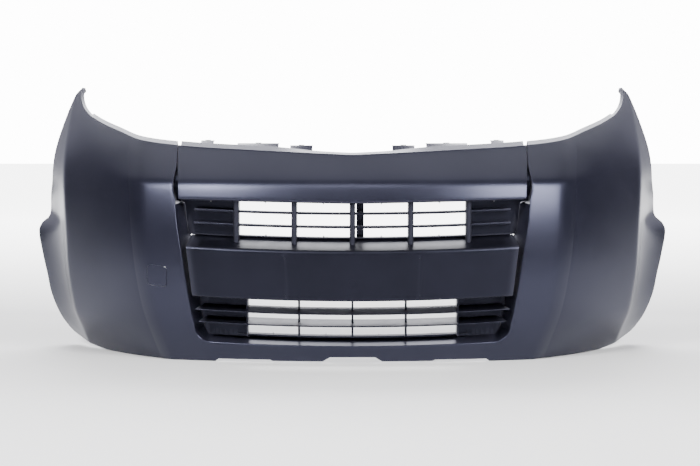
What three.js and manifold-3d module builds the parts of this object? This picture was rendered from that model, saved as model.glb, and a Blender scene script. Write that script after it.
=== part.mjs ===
// Front bumper cover of a small van, as an assembly of its mouldings and fasteners.
//
// Millimetres, +Z up. -Y is the vehicle's forward direction and +X is its left-hand side. The design
// functions below measure y backwards from the foremost point of the outer skin; the exported group
// is shifted in y so that the middle of the part's length lies at y = 0. The underside of the side
// covers lies at z = 0.

import * as THREE from "three";
import { mergeVertices } from "three/addons/utils/BufferGeometryUtils.js";
import Module from "manifold-3d";

const wasm = await Module();
wasm.setup();

// ---------------------------------------------------------------- driving dimensions

const WALL = 3; // thickness of the painted skins
const RIB = 2.5; // thickness of flanges, fins and ribs
const GAP = 0.5; // clearance between neighbouring mouldings
const LENGTH = 600; // front to back, from the number-plate plane to the tips of the wings
const HEIGHT = 690; // from the underside to the tips of the wings

const FRONT_RADIUS = 1650; // plan radius of the front
const SECTION_RADIUS = 750; // radius of the front in side view
const FOREMOST_Z = 224; // height at which the front is furthest forward
const BELT_Z = 444; // crease above which the front leans back
const BELT_SLOPE = 0.95; // how far it leans back for each millimetre of height
const BELT_RISE = 50; // rise of that crease towards the sides
const BELT_SOFT = { middle: 8, sides: 50 }; // softness of that crease
const SIDES = { from: 540, over: 200 }; // distances from the middle over which the sides' shape comes in
const TUCK = { z: 84, slope: 0.15, more: 0.35, soft: 20 }; // tuck of the lower edge; more at the sides
const STEP_DEPTH = 14; // step from the centre field down to the corner facets
const STEP_WIDTH = 12;
const STEP_TOP = { z: 574, fade: 60 }; // the step fades out up to this height
const STEP_BLEND = 6; // softness of the change from centre field to corner facet
const SIDE_Y = 285; // depth at which the corner facet turns into the side
const SIDE_SLOPE = 3; // depth gained for each millimetre outwards on the side
const CREASE = 6; // softness of the crease between corner facet and side
const CORNER_BULGE = 7;
const OUTER_X = 850; // the skin's blank is this wide to each side before it is trimmed

const AXLE = { y: 800, z: 130, archRadius: 380 }; // wheel-arch circle, seen from the side

const GRILLE_Y = 74; // the grilles' mounting plane, behind the front's tangent plane
const LIFT_RADIUS = 8500; // curve with which the grilles and the lip rise to the sides
const MOUTH_DRAFT = { side: 25, lower: 18 }; // how far the mouth's wall runs inwards over its depth
const DRAFT_TOP = 388; // height above which that draft dies away
const DRAFT_FADE = 12; // over this height
const MOUTH_PLAY = 2.2; // clearance between the mouth's wall and the grilles

const AHEAD = -60; // cutting tools start here, ahead of every part
const MOUTH_REACH = 400; // and end here behind the mouth
const BEHIND = 900; // or here, behind every part

// ---------------------------------------------------------------- curves and the outer skin

// A smooth curve through a few points, as a function of their first coordinate.
function through(points) {
  const n = points.length;
  const slope = points.map((p, i) => {
    const a = points[Math.max(i - 1, 0)];
    const b = points[Math.min(i + 1, n - 1)];
    return (b[1] - a[1]) / (b[0] - a[0]);
  });
  return (at) => {
    const x = Math.min(Math.max(at, points[0][0]), points[n - 1][0]);
    let i = 0;
    while (i < n - 2 && x > points[i + 1][0]) i++;
    const [x0, y0] = points[i];
    const [x1, y1] = points[i + 1];
    const h = x1 - x0;
    const t = (x - x0) / h;
    return (
      (2 * t ** 3 - 3 * t ** 2 + 1) * y0 +
      (t ** 3 - 2 * t ** 2 + t) * h * slope[i] +
      (3 * t ** 2 - 2 * t ** 3) * y1 +
      (t ** 3 - t ** 2) * h * slope[i + 1]
    );
  };
}

const clamp01 = (t) => Math.min(Math.max(t, 0), 1);
const ease = (t) => clamp01(t) ** 2 * (3 - 2 * clamp01(t));
const softRamp = (t, r) => (t + Math.hypot(t, r)) / 2; // 0 below, t above, rounded over r
const softMax = (a, b, r) => (a + b + Math.hypot(a - b, r)) / 2;
const bow = (x) => x ** 2 / (2 * FRONT_RADIUS);
const lift = (x) => x ** 2 / (2 * LIFT_RADIUS);

// Half-width of the centre field, by height.
const centreEdge = through([
  [0, 466], [40, 480], [132, 510], [222, 527], [283, 535],
  [345, 541], [435, 547], [475, 553], [521, 562], [575, 566],
]);
// Half-width of the crease between corner facet and side, by height.
const cornerEdge = through([
  [0, 690], [37, 701], [75, 713], [110, 723], [205, 737], [332, 746], [430, 753], [521, 759], [620, 762],
]);
// Height of the top edge and of the nose's lower edge, by distance from the middle.
const topEdge = through([[0, 511], [270, 524], [437, 534], [544, 548], [608, 571], [657, 590], [697, 610]]);
const noseEdge = through([[0, 394], [268, 399], [430, 402]]);
// Half-width of the mouth at each height above its rounded lower corners, and of the nose panel.
const mouthEdge = through([
  [80, 386], [112, 394], [132, 398], [246, 416], [338, 431], [400, 438], [433, 444], [484, 439], [540, 444],
]);
const noseHalf = through([
  [402, 429], [410, 429.6], [440, 431.5], [472, 434.5], [484, 437.2], [540, 442.2],
]);
// How far the wheel-arch lip stands out, by height.
const lipOut = through([
  [0, 8], [28, 15], [60, 26], [103, 31], [141, 36], [189, 37], [245, 42], [302, 45],
  [324, 33], [336, 16], [350, 8], [400, 5], [440, 0], [700, 0],
]);

// Depth of the outer skin behind the foremost point.
function skinY(x, z) {
  const a = Math.abs(x);
  const x1 = centreEdge(z) + STEP_WIDTH;
  const x2 = cornerEdge(z);
  const top = ease((STEP_TOP.z - z) / STEP_TOP.fade);
  const step = STEP_DEPTH * ease((a - x1 + STEP_WIDTH) / STEP_WIDTH) * top;
  const y1 = bow(x1) + STEP_DEPTH;
  const t = (a - x1) / (x2 - x1);
  const corner = y1 + (SIDE_Y - y1) * t - CORNER_BULGE * 4 * t * (1 - t);
  const side = SIDE_Y + (a - x2) * SIDE_SLOPE;
  const plan = softMax(softMax(bow(a) + step, corner, STEP_BLEND), side, CREASE);
  const outer = ease((a - SIDES.from) / SIDES.over);
  const section = (z - FOREMOST_Z) ** 2 / (2 * SECTION_RADIUS);
  const soft = BELT_SOFT.middle + BELT_SOFT.sides * outer;
  const belt = BELT_SLOPE * softRamp(z - BELT_Z - BELT_RISE * outer, soft);
  const tuck = (TUCK.slope + TUCK.more * outer) * softRamp(TUCK.z - z, TUCK.soft);
  return plan + section + belt + tuck;
}

// How far the lip of the wheel arch pushes the skin outwards at a point of the side.
const FLARE = { from: 320, power: 1.7 }; // depth at which it starts, and how suddenly it comes in
function lipX(y, z) {
  const arch = AXLE.y - Math.sqrt(Math.max(AXLE.archRadius ** 2 - (z - AXLE.z) ** 2, 0));
  return lipOut(z) * clamp01((y - FLARE.from) / (arch - FLARE.from)) ** FLARE.power;
}

// ---------------------------------------------------------------- solids

function solidOf(geometry) {
  const bare = new THREE.BufferGeometry().setAttribute("position", geometry.getAttribute("position"));
  if (geometry.index) bare.setIndex(geometry.index);
  const merged = mergeVertices(bare, 1e-3);
  const vertProperties = new Float32Array(merged.attributes.position.array);
  const faces = new Uint32Array(merged.index.array);
  const made = new wasm.Manifold(new wasm.Mesh({ numProp: 3, vertProperties, triVerts: faces }));
  if (made.volume() >= 0) return made;
  return new wasm.Manifold(new wasm.Mesh({ numProp: 3, vertProperties, triVerts: faces.reverse() }));
}

function geometryOf(solid) {
  const mesh = solid.getMesh();
  const positions = new Float32Array(mesh.numVert * 3);
  for (let i = 0; i < mesh.numVert; i++) {
    positions.set(mesh.vertProperties.subarray(i * mesh.numProp, i * mesh.numProp + 3), i * 3);
  }
  const geometry = new THREE.BufferGeometry();
  geometry.setAttribute("position", new THREE.BufferAttribute(positions, 3));
  geometry.setIndex(new THREE.BufferAttribute(mesh.triVerts, 1));
  geometry.computeVertexNormals();
  return geometry;
}

const join = (...solids) => solids.flat().reduce((all, s) => all.add(s));
const cut = (solid, ...tools) => tools.flat().reduce((rest, s) => rest.subtract(s), solid);
const both = (make) => [make(1), make(-1)]; // one on each side of the vehicle
// Evenly spaced values from one number to another.
function span(from, to, steps) {
  return Array.from({ length: steps + 1 }, (_, i) => from + ((to - from) * i) / steps);
}

// Triangles over a flat ring of points, wound the way the ring runs.
function capFaces(ring) {
  const normal = new THREE.Vector3();
  ring.forEach((p, i) => {
    const q = ring[(i + 1) % ring.length];
    normal.add(new THREE.Vector3().crossVectors(new THREE.Vector3(...p), new THREE.Vector3(...q)));
  });
  const size = normal.toArray().map(Math.abs);
  const drop = size.indexOf(Math.max(...size));
  const contour = ring.map((p) => new THREE.Vector2(...p.filter((_, axis) => axis !== drop)));
  const faces = THREE.ShapeUtils.triangulateShape(contour, []);
  return THREE.ShapeUtils.isClockWise(contour) ? faces.map(([a, b, c]) => [c, b, a]) : faces;
}

// A closed solid through a row of rings with equal numbers of points.
function loft(rings) {
  const n = rings[0].length;
  const last = (rings.length - 1) * n;
  const index = [];
  for (let start = 0; start < last; start += n) {
    for (let i = 0; i < n; i++) {
      const a = start + i;
      const b = start + ((i + 1) % n);
      index.push(a, b, b + n, a, b + n, a + n);
    }
  }
  for (const [a, b, c] of capFaces(rings[0])) index.push(c, b, a);
  for (const [a, b, c] of capFaces(rings[rings.length - 1])) index.push(last + a, last + b, last + c);
  const geometry = new THREE.BufferGeometry();
  geometry.setAttribute("position", new THREE.BufferAttribute(new Float32Array(rings.flat(2)), 3));
  geometry.setIndex(index);
  return solidOf(geometry);
}

// A section [y, z] drawn at each x of a row.
const sweepX = (xs, section) => loft(xs.map((x) => section(x).map(([y, z]) => [x, y, z])));

// A section [y, z] carried along the front's curves, from one half-width to another.
// Both half-widths are functions of (y, z).
function across(section, from, to, steps) {
  const rings = span(0, 1, steps).map((t) =>
    section.map(([y, z]) => {
      const x = from(y, z) * (1 - t) + to(y, z) * t;
      return [x, y + bow(x), z + lift(x)];
    }),
  );
  return loft(rings);
}

const fullWidth = (section, half) => across(section, (y, z) => -half(y, z), half, 10);
const rectangle = (y0, y1, z0, z1) => [[y0, z0], [y1, z0], [y1, z1], [y0, z1]];

const outline = (points) => new THREE.Shape(points.map((p) => new THREE.Vector2(...p)));

// A prism along y of an outline in (x, z).
function prismY(shape, y0, y1) {
  const settings = { depth: y1 - y0, bevelEnabled: false, curveSegments: 4 };
  const geometry = new THREE.ExtrudeGeometry(shape, settings);
  return solidOf(geometry.rotateX(Math.PI / 2).translate(0, y1, 0));
}

// A prism along x of an outline in (y, z).
function prismX(points, x0, x1) {
  const geometry = new THREE.ExtrudeGeometry(outline(points), { depth: x1 - x0, bevelEnabled: false });
  const turn = new THREE.Matrix4().makeBasis(
    new THREE.Vector3(0, 1, 0),
    new THREE.Vector3(0, 0, 1),
    new THREE.Vector3(1, 0, 0),
  );
  return solidOf(geometry.applyMatrix4(turn).translate(x0, 0, 0));
}

function box(x0, x1, y0, y1, z0, z1) {
  const geometry = new THREE.BoxGeometry(x1 - x0, y1 - y0, z1 - z0);
  return solidOf(geometry.translate((x0 + x1) / 2, (y0 + y1) / 2, (z0 + z1) / 2));
}

function roundedSquare(half, radius) {
  const shape = new THREE.Shape();
  const at = half - radius;
  shape.absarc(at, at, radius, 0, Math.PI / 2);
  shape.absarc(-at, at, radius, Math.PI / 2, Math.PI);
  shape.absarc(-at, -at, radius, Math.PI, 1.5 * Math.PI);
  shape.absarc(at, -at, radius, 1.5 * Math.PI, 2 * Math.PI);
  return shape;
}

// Turns the +z axis of a geometry or solid tool to a direction and puts its origin at a point.
function placed(geometry, at, axis) {
  const turn = new THREE.Quaternion().setFromUnitVectors(
    new THREE.Vector3(0, 0, 1),
    new THREE.Vector3(...axis).normalize(),
  );
  return geometry.applyQuaternion(turn).translate(...at);
}

// ---------------------------------------------------------------- fasteners

const SCREW = { shank: 2.2, head: 6, headHeight: 3, hole: 2.8, length: 10, sides: 10 };

// A flange-headed screw whose head bears at a point and whose shank runs against the axis.
function screwAt({ at, axis }) {
  const { shank, head, headHeight, length, sides } = SCREW;
  const profile = [
    [0, -length],
    [shank, -length + 3],
    [shank, 0],
    [head, 0],
    [head, 1.2],
    [head - 2, headHeight],
    [0, headHeight],
  ];
  const turned = new THREE.LatheGeometry(profile.map((p) => new THREE.Vector2(...p)), sides);
  return solidOf(placed(turned.rotateX(Math.PI / 2), at, axis));
}

function holeFor({ at, axis }) {
  const { hole, length, sides } = SCREW;
  const bore = new THREE.CylinderGeometry(hole, hole, length + 8, sides);
  return solidOf(placed(bore.rotateX(Math.PI / 2).translate(0, 0, -length / 2), at, axis));
}

// ---------------------------------------------------------------- the outer skin as a shell

// Heights of the skin's rows of points.
const SKIN_ROWS = [
  -12, 30, 60, 90, 130, 180, 240, 302, 324, 342, 390, 430, 446, 462, 500, 540, 574, 620, 710,
];

// Half-widths of the skin's columns at a height, closer together at the creases.
function columnsAt(z) {
  const x1 = centreEdge(z);
  const x2 = cornerEdge(z);
  const middle = span(0, x1, 5);
  const step = [x1 + STEP_WIDTH / 2, x1 + STEP_WIDTH];
  const corner = span(x1 + STEP_WIDTH + 8, x2 - 14, 3);
  const crease = [x2 - 5, x2 + 2, x2 + 9];
  const side = span(x2 + 22, OUTER_X, 4);
  return [...middle, ...step, ...corner, ...crease, ...side];
}

function skinPoint(x, z) {
  const y = skinY(x, z);
  return [x + Math.sign(x) * lipX(y, z), y, z];
}

function skinShell() {
  const rows = SKIN_ROWS.map((z) => {
    const right = columnsAt(z);
    const left = right.slice(1).reverse().map((x) => -x);
    return [...left, ...right].map((x) => skinPoint(x, z));
  });
  const nz = rows.length;
  const nx = rows[0].length;
  const face = [];
  for (let j = 0; j + 1 < nz; j++) {
    for (let i = 0; i + 1 < nx; i++) {
      const a = j * nx + i;
      const quad = [a, a + 1, a + nx + 1, a + nx];
      const [p, q, u, v] = i < nx / 2 - 1 ? quad : [...quad.slice(1), a];
      face.push(p, q, u, p, u, v);
    }
  }
  const outer = new THREE.BufferGeometry();
  outer.setAttribute("position", new THREE.BufferAttribute(new Float32Array(rows.flat(2)), 3));
  outer.setIndex(face);
  outer.computeVertexNormals();
  const normals = outer.attributes.normal.array;
  const front = rows.flat(2);
  const back = front.map((value, i) => value - normals[i] * WALL);
  const total = nx * nz;
  const index = [...face];
  for (let i = 0; i < face.length; i += 3) {
    index.push(face[i + 2] + total, face[i + 1] + total, face[i] + total);
  }
  const rim = [];
  for (let i = 0; i + 1 < nx; i++) rim.push([i + 1, i], [(nz - 1) * nx + i, (nz - 1) * nx + i + 1]);
  for (let j = 0; j + 1 < nz; j++) {
    rim.push([j * nx, (j + 1) * nx], [(j + 2) * nx - 1, (j + 1) * nx - 1]);
  }
  for (const [a, b] of rim) index.push(a, b, b + total, a, b + total, a + total);
  const shell = new THREE.BufferGeometry();
  shell.setAttribute("position", new THREE.BufferAttribute(new Float32Array([...front, ...back]), 3));
  shell.setIndex(index);
  return solidOf(shell);
}

// ---------------------------------------------------------------- outlines

const HORN = [[720, 628], [734, 644], [742, 668], [745, HEIGHT]]; // inner edge of the wing's tip
const FOOT_CORNER = [ // lower rear corner
  [640, 0], [662, 3.6], [685, 8], [703, 13], [720, 19], [734, 26], [746.5, 33], [764, 50],
];
const mirrored = (points) => [...points, ...points.slice().reverse().map(([x, z]) => [-x, z])];

// Outline of the whole cover seen from the front.
function frontOutline() {
  const lip = [[55, 14], [73, 3], [196, 3], [204, 6], [331, 6], [339, 0]];
  const lower = [...lip, ...FOOT_CORNER, [OUTER_X + 60, 150]];
  const tip = [[OUTER_X + 60, HEIGHT], ...HORN.slice().reverse()];
  const upper = span(697, 17, 17).map((x) => [x, topEdge(x)]);
  return outline(mirrored([...lower, ...tip, ...upper]));
}

// Rear edge of the wing seen from the side: the wheel arch, then the joint with the front wing panel.
const ARCH_TOP = 345;
const archY = (z) => AXLE.y - Math.sqrt(AXLE.archRadius ** 2 - (z - AXLE.z) ** 2);
const WING_SLOPE = (LENGTH - archY(ARCH_TOP)) / (HEIGHT - ARCH_TOP);
const rearY = (z) => (z < ARCH_TOP ? archY(z) : archY(ARCH_TOP) + (z - ARCH_TOP) * WING_SLOPE);
const REAR_ROWS = [0, 30, 60, 90, 130, 180, 240, 302, 324, 342];

function sideOutline() {
  const low = -40;
  const high = HEIGHT + 40;
  const rear = REAR_ROWS.map((z) => [rearY(z), z]);
  return [
    [AHEAD, low], [rearY(0), low], ...rear, [LENGTH, HEIGHT], [LENGTH, high], [AHEAD, high],
  ];
}

// The mouth's rim from the top of the left-hand seam down, along the lower lip to the middle.
const LIP_Z = 43;
const MOUTH_CORNER = 40; // radius of the mouth's lower corners
function mouthRim() {
  const rows = [540, 512, 484, 460, 433, 400, 394, 388, 338, 280, 210, 150, 104];
  const sides = rows.map((z) => [mouthEdge(z), z]);
  const x = mouthEdge(92) - MOUTH_CORNER;
  const corner = span(0, Math.PI / 2, 4).map((t) => [
    x + MOUTH_CORNER * Math.cos(t),
    LIP_Z + lift(x) + MOUTH_CORNER * (1 - Math.sin(t)),
  ]);
  return [...sides, ...corner, ...[300, 200, 100].map((at) => [at, LIP_Z + lift(at)])];
}

function mouthOutline() {
  return outline(mirrored([[mouthEdge(600), 760], ...mouthRim()]));
}

// ---------------------------------------------------------------- outer cover

// Half-width of the skin at a depth and height, on the side of the cover.
function sideX(y, z) {
  let low = cornerEdge(z) - 60;
  let high = OUTER_X + 40;
  for (let i = 0; i < 40; i++) {
    const middle = (low + high) / 2;
    if (skinY(middle, z) < y) low = middle;
    else high = middle;
  }
  return low + lipX(y, z);
}

// The mouth's rim with, at each point, the direction away from the opening and the wall's run behind it.
function mouthFrame() {
  const rim = mirrored(mouthRim());
  return rim.map(([x, z], i) => {
    const before = rim[Math.max(i - 1, 0)];
    const after = rim[Math.min(i + 1, rim.length - 1)];
    const along = new THREE.Vector2(after[0] - before[0], after[1] - before[1]).normalize();
    const out = [-along.y, along.x];
    const upright = ease(Math.abs(out[0]) * 1.6 - 0.3);
    const draft = MOUTH_DRAFT.side * upright + MOUTH_DRAFT.lower * (1 - upright);
    const front = skinY(x, z) + WALL / 2;
    const back = Math.max(bow(x) + GRILLE_Y, skinY(x, z) + SEAM_DEPTH);
    return { x, z, out, draft: draft * (1 - ease((z - DRAFT_TOP) / DRAFT_FADE)), front, back };
  });
}

// The wall that runs back from the mouth's rim, drawn in towards the grilles.
function mouthWall() {
  const rings = mouthFrame().map(({ x, z, out, draft, front, back }) => {
    const at = (y, off) => [x + out[0] * off, y, z + out[1] * off];
    return [at(front, 0), at(front, WALL), at(back, WALL - draft), at(back, -draft)];
  });
  return loft(rings);
}

// Prism of the space inside the mouth's wall at a depth behind the front's curve, less a clearance.
function mouthSpace(depth, clearance) {
  const rim = mouthFrame().map(({ x, z, out, draft, front, back }) => {
    const off = (-draft * (bow(x) + depth - front)) / (back - front) - clearance;
    return [x + out[0] * off, z + out[1] * off];
  });
  return prismY(outline(rim), AHEAD, MOUTH_REACH);
}

// Strip turned in behind each lower corner of the nose panel, where that panel is narrower than the mouth.
function cornerStrip(side) {
  const rows = [[399.5, 9], [404, 9], [412, 18], [433, 18], [460, 18], [488, 14]];
  const rings = rows.map(([z, width]) => {
    const x = mouthEdge(z);
    const y = Math.max(bow(x) + GRILLE_Y, skinY(x, z) + SEAM_DEPTH);
    return rectangle(y - 0.3, y + RIB, x - width, x + WALL / 2).map(([a, b]) => [side * b, a, z]);
  });
  return loft(rings);
}

const LEDGE_ROOT = 4; // distance of the ledges' roots below the top edge
const SEAM_DEPTH = 28; // how far the flanges beside the nose panel run back
const FLANGE = 20; // width of the turned-in rear flanges of the wings
const FOOT = { from: 345, to: 640, depth: 38 }; // flat flange under each side of the cover

function rearFlange(side) {
  const lowest = FOOT_CORNER[FOOT_CORNER.length - 1][1];
  const rows = [lowest, ...REAR_ROWS.filter((z) => z > lowest), 415, 480, 545, 620, 660];
  const rings = rows.map((z) => {
    const y = rearY(z);
    const x = sideX(y - RIB, z) - WALL / 2;
    const ring = [[x, y], [x - FLANGE, y], [x - FLANGE, y - RIB], [x, y - RIB]];
    return ring.map(([a, b]) => [side * a, b, z]);
  });
  return loft(rings);
}

function footFlange(side) {
  const xs = span(FOOT.from, FOOT.to, 7).map((x) => side * x);
  return sweepX(xs, (x) => {
    const y = skinY(x, 1) + WALL / 2;
    return [[y, 0], [y + FOOT.depth, 0], [y + FOOT.depth, RIB], [y, RIB]];
  });
}

// Ledge that stands up behind the top edge beside the lamps.
const LAMP_LEDGE = { from: 449, to: 706, depth: 24, rise: 10 };
function lampLedge(side) {
  const { from, to, depth, rise } = LAMP_LEDGE;
  const xs = span(from, to, 8).map((x) => side * x);
  return sweepX(xs, (x) => {
    const z = topEdge(Math.abs(x)) - LEDGE_ROOT;
    const y = skinY(x, z) + WALL / 2;
    return [[y, z], [y + depth, z + rise], [y + depth, z + rise + RIB], [y, z + RIB]];
  });
}

// Flat flange behind the lower lip that carries the lower grille.
const LIP_FLANGE_HALF = 232;
function lipFlange() {
  const section = rectangle(GRILLE_Y - 4, GRILLE_Y + 20, LIP_BACK - RIB, LIP_BACK);
  return fullWidth(section, () => LIP_FLANGE_HALF);
}

// Turned-in strip under the raised middle of the lower lip.
const LIP_RETURN = { half: 50, z: 14, depth: 30 };
function lipReturn() {
  const { half, z, depth } = LIP_RETURN;
  return sweepX(span(-half, half, 2), (x) => {
    const y = skinY(x, z + 1) + WALL / 2;
    return rectangle(y, y + depth, z, z + RIB);
  });
}

const TOW_EYE = { x: -482, z: 213.5, half: 25.7, radius: 11, slant: -0.1 }; // slant: z gained along x
const CAP = { clearance: 0.7, leg: 14, inset: 3, legHalf: 8 }; // play round it, and its legs' size
const SLEEVE_DEPTH = 26; // of the short tube behind the opening

// Outline of the towing-eye opening, smaller or larger by a margin all round.
function towEyeOutline(margin) {
  const { x, z, half, radius, slant } = TOW_EYE;
  const round = roundedSquare(half + margin, radius + margin).getPoints(4);
  return round.map((p) => new THREE.Vector2(x + p.x, z + p.y + slant * p.x));
}

// Short tube behind the towing-eye opening, which the cap's legs spring into.
function towEyeSleeve() {
  const { x, z } = TOW_EYE;
  const rim = towEyeOutline(RIB);
  const front = rim.map((p) => [p.x, skinY(p.x, p.y) + WALL / 2, p.y]);
  const back = rim.map((p) => [p.x, skinY(x, z) + SLEEVE_DEPTH, p.y]);
  return loft([front, back]);
}

function outerCover(shell) {
  const trimmed = shell
    .intersect(prismY(frontOutline(), AHEAD, BEHIND))
    .intersect(prismX(sideOutline(), -OUTER_X - 80, OUTER_X + 80));
  const open = cut(trimmed, prismY(mouthOutline(), AHEAD, MOUTH_REACH));
  const flanges = [cornerStrip, rearFlange, footFlange, lampLedge].flatMap(both);
  flanges.push(lipFlange(), lipReturn());
  const opening = prismY(new THREE.Shape(towEyeOutline(0)), AHEAD, MOUTH_REACH);
  const holes = [...SCREWS.seam, ...SCREWS.lip, ...SCREWS.wing].map(holeFor);
  return cut(join(open, mouthWall(), flanges, towEyeSleeve()), opening, holes);
}

function towEyeCap(shell) {
  const { x, z, half } = TOW_EYE;
  const size = half - CAP.clearance;
  const face = shell.intersect(prismY(new THREE.Shape(towEyeOutline(-CAP.clearance)), AHEAD, MOUTH_REACH));
  const legs = both((side) => {
    const height = z + side * (size - CAP.inset);
    return sweepX(span(x - CAP.legHalf, x + CAP.legHalf, 1), (at) => {
      const y = skinY(at, height) + WALL / 2;
      return rectangle(y, y + CAP.leg, height - 1, height + 1);
    });
  });
  return join(face, legs);
}

// ---------------------------------------------------------------- nose panel

const NOSE_BOTTOM = 402; // height of the nose panel's lower corners
const BONNET_TABS = [[100, 156], [185, 290], [351, 384]]; // from and to, out from the middle
const TAB = { rise: 16, front: 20, lean: 20, depth: 58 }; // above the top edge; riser and rear edge
const LEDGE = { half: 430, depth: 24, rise: 10, dip: 6 }; // strip that rises behind the top edge

function noseOutline() {
  const lower = span(17, noseHalf(NOSE_BOTTOM), 7).map((x) => [x, noseEdge(x)]);
  const sides = [415, 440, 460, 472, 484, 510, 540, 600].map((z) => [noseHalf(z), z]);
  return outline(mirrored([...lower, ...sides, [400, 640]]));
}

function noseSideFlange(side) {
  const rings = [404, 415, 440, 460, 472, 484, 510, 530].map((z) => {
    const x = noseHalf(z);
    const y = skinY(x, z) + WALL / 2;
    return rectangle(y, y + SEAM_DEPTH - 4, x - RIB, x).map(([a, b]) => [side * b, a, z]);
  });
  return loft(rings);
}

// Height of the flat top of a bonnet tab, and the depth at which the tab leaves the skin.
const tabZ = ([from, to]) => topEdge((from + to) / 2) + TAB.rise;
const tabY = (x) => skinY(x, topEdge(Math.abs(x)) - LEDGE_ROOT) + WALL / 2;

// Top of the ledge behind the nose panel's top edge, which dips near the middle.
function ledgeZ(x) {
  const dip = LEDGE.dip * (1 - ease((Math.abs(x) - 60) / 150));
  return topEdge(Math.abs(x)) + LEDGE.rise - dip;
}

function noseLedge() {
  return sweepX(span(-LEDGE.half, LEDGE.half, 20), (x) => {
    const y = tabY(x);
    const root = topEdge(Math.abs(x)) - LEDGE_ROOT;
    const top = ledgeZ(x);
    return [[y, root], [y + LEDGE.depth, top - RIB], [y + LEDGE.depth, top], [y, root + RIB]];
  });
}

function bonnetTab(tab, side) {
  const z = tabZ(tab);
  return sweepX(span(side * tab[0], side * tab[1], 2), (x) => {
    const front = tabY(x) + TAB.front;
    const back = tabY(x) + TAB.depth;
    const foot = ledgeZ(x) - 3;
    const top = front + TAB.lean;
    return [[front, foot], [front + 4, foot], [top + 1, z - RIB], [back, z - RIB], [back, z], [top, z]];
  });
}

function nosePanel(shell) {
  const face = shell
    .intersect(prismY(frontOutline(), AHEAD, BEHIND))
    .intersect(prismY(noseOutline(), AHEAD, BEHIND));
  const width = noseHalf(NOSE_BOTTOM) - 1;
  const lower = sweepX(span(-width, width, 10), (x) => {
    const z = noseEdge(Math.abs(x));
    return rectangle(skinY(x, z) + WALL / 2, bow(x) + GRILLE_Y - 1, z, z + RIB);
  });
  const tabs = BONNET_TABS.flatMap((tab) => both((side) => bonnetTab(tab, side)));
  const holes = [...SCREWS.seam, ...SCREWS.nose, SCREWS.strut[0]].map(holeFor);
  return cut(join(face, lower, noseLedge(), both(noseSideFlange), tabs), holes);
}

// ---------------------------------------------------------------- grilles and number-plate panel

const SHELF = { frontZ: 279, backZ: 304.5, back: 92 }; // top of the number-plate panel
const PLATE = { bottom: 156, top: 275, bottomHalf: 393, topHalf: 408 };
const UPPER_FLOOR = SHELF.backZ + GAP; // underside of the upper grille's lower flange
const LIP_BACK = LIP_Z + MOUTH_DRAFT.lower; // top of the flange behind the lower lip
const LOWER_FLOOR = LIP_BACK + 1;
const LOWER_TOP = PLATE.bottom - GAP;

// Half-width of the mouth, less a small clearance, for a part at a depth behind the front's curve
// that has a height in the middle and is lifted at the sides.
const MOUTH_SIDE = 400; // roughly where the mouth's sides are
function mouthHalf(y, z) {
  const height = z + lift(MOUTH_SIDE);
  const draft = MOUTH_DRAFT.side * (1 - ease((height - DRAFT_TOP) / DRAFT_FADE));
  return mouthEdge(height) - MOUTH_PLAY - draft * clamp01(y / GRILLE_Y);
}

function plateHalf(y, z) {
  const t = clamp01((z - PLATE.bottom) / (PLATE.top - PLATE.bottom));
  const half = PLATE.bottomHalf + (PLATE.topHalf - PLATE.bottomHalf) * t;
  return Math.min(half, mouthHalf(y, z) - 3);
}

const DIMPLES = { x: [-165, 165], z: [168, 259], radius: 1.8, depth: 1.2 }; // marks for drilling

function platePanel() {
  const { bottom, top } = PLATE;
  const { frontZ, backZ, back } = SHELF;
  const section = [
    [0, bottom + 4], [0, top - 5], [1.5, top + 1], [6, frontZ + 0.5], [72, backZ], [back, backZ],
    [back, backZ - RIB], [72.5, backZ - RIB], [7, frontZ - 2], [3, top - 2], [RIB, top - 6],
    [RIB, bottom + 5], [5, bottom + RIB], [back, bottom + RIB], [back, bottom], [4, bottom],
  ];
  const end = [
    [1, bottom + 4], [1, top - 4], [8, frontZ], [72, backZ - 1], [72, bottom + 1], [4, bottom + 1],
  ];
  const ends = both((side) => {
    const inner = (y, z) => side * (plateHalf(y, z) - RIB);
    return across(end, inner, (y, z) => side * plateHalf(y, z), 1);
  });
  const { radius, depth } = DIMPLES;
  const dimples = DIMPLES.x.flatMap((x) => DIMPLES.z.map((z) => {
    const drill = new THREE.CylinderGeometry(radius, radius, 2 * depth, 8);
    return solidOf(drill.translate(x, bow(x), z + lift(x)));
  }));
  const holes = [...SCREWS.plateTop, ...SCREWS.plateBottom, SCREWS.strut[1]].map(holeFor);
  return cut(join(fullWidth(section, plateHalf), ends), dimples, holes);
}

const POSTS = [-285, -142.5, 0, 142.5, 285];
const POST = { half: 7, front: 34, back: 70 };
const UPPER_BARS = { z: [334, 367], half: 394, taper: 6 }; // heights, half-width and how much less behind
const UPPER_BLANK = 290; // the upper grille is closed from here outwards
const UPPER_BLANK_TOP = 396;
const UPPER_FLANGES = { top: 424, bottom: 392 }; // half-widths

function post(x) {
  const { half, front, back } = POST;
  const shape = new THREE.Shape();
  shape.absarc(0, front + half, half, Math.PI, 2 * Math.PI);
  shape.lineTo(half, back);
  shape.lineTo(-half, back);
  const height = noseEdge(Math.abs(x)) - 2 - SHELF.frontZ;
  const settings = { depth: height, bevelEnabled: false, curveSegments: 4 };
  const geometry = new THREE.ExtrudeGeometry(shape, settings);
  return solidOf(geometry.translate(x, bow(x), SHELF.frontZ));
}

const BAR = { front: 42, back: 67, half: 3, nose: 1.5 };
function grilleBar(z) {
  const { front, back, half, nose } = BAR;
  const face = front + 2;
  const section = [
    [front, z - nose], [face, z - half], [back, z - half],
    [back, z + half], [face, z + half], [front, z + nose],
  ];
  return fullWidth(section, (y) => UPPER_BARS.half - UPPER_BARS.taper * clamp01(y / GRILLE_Y));
}

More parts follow.
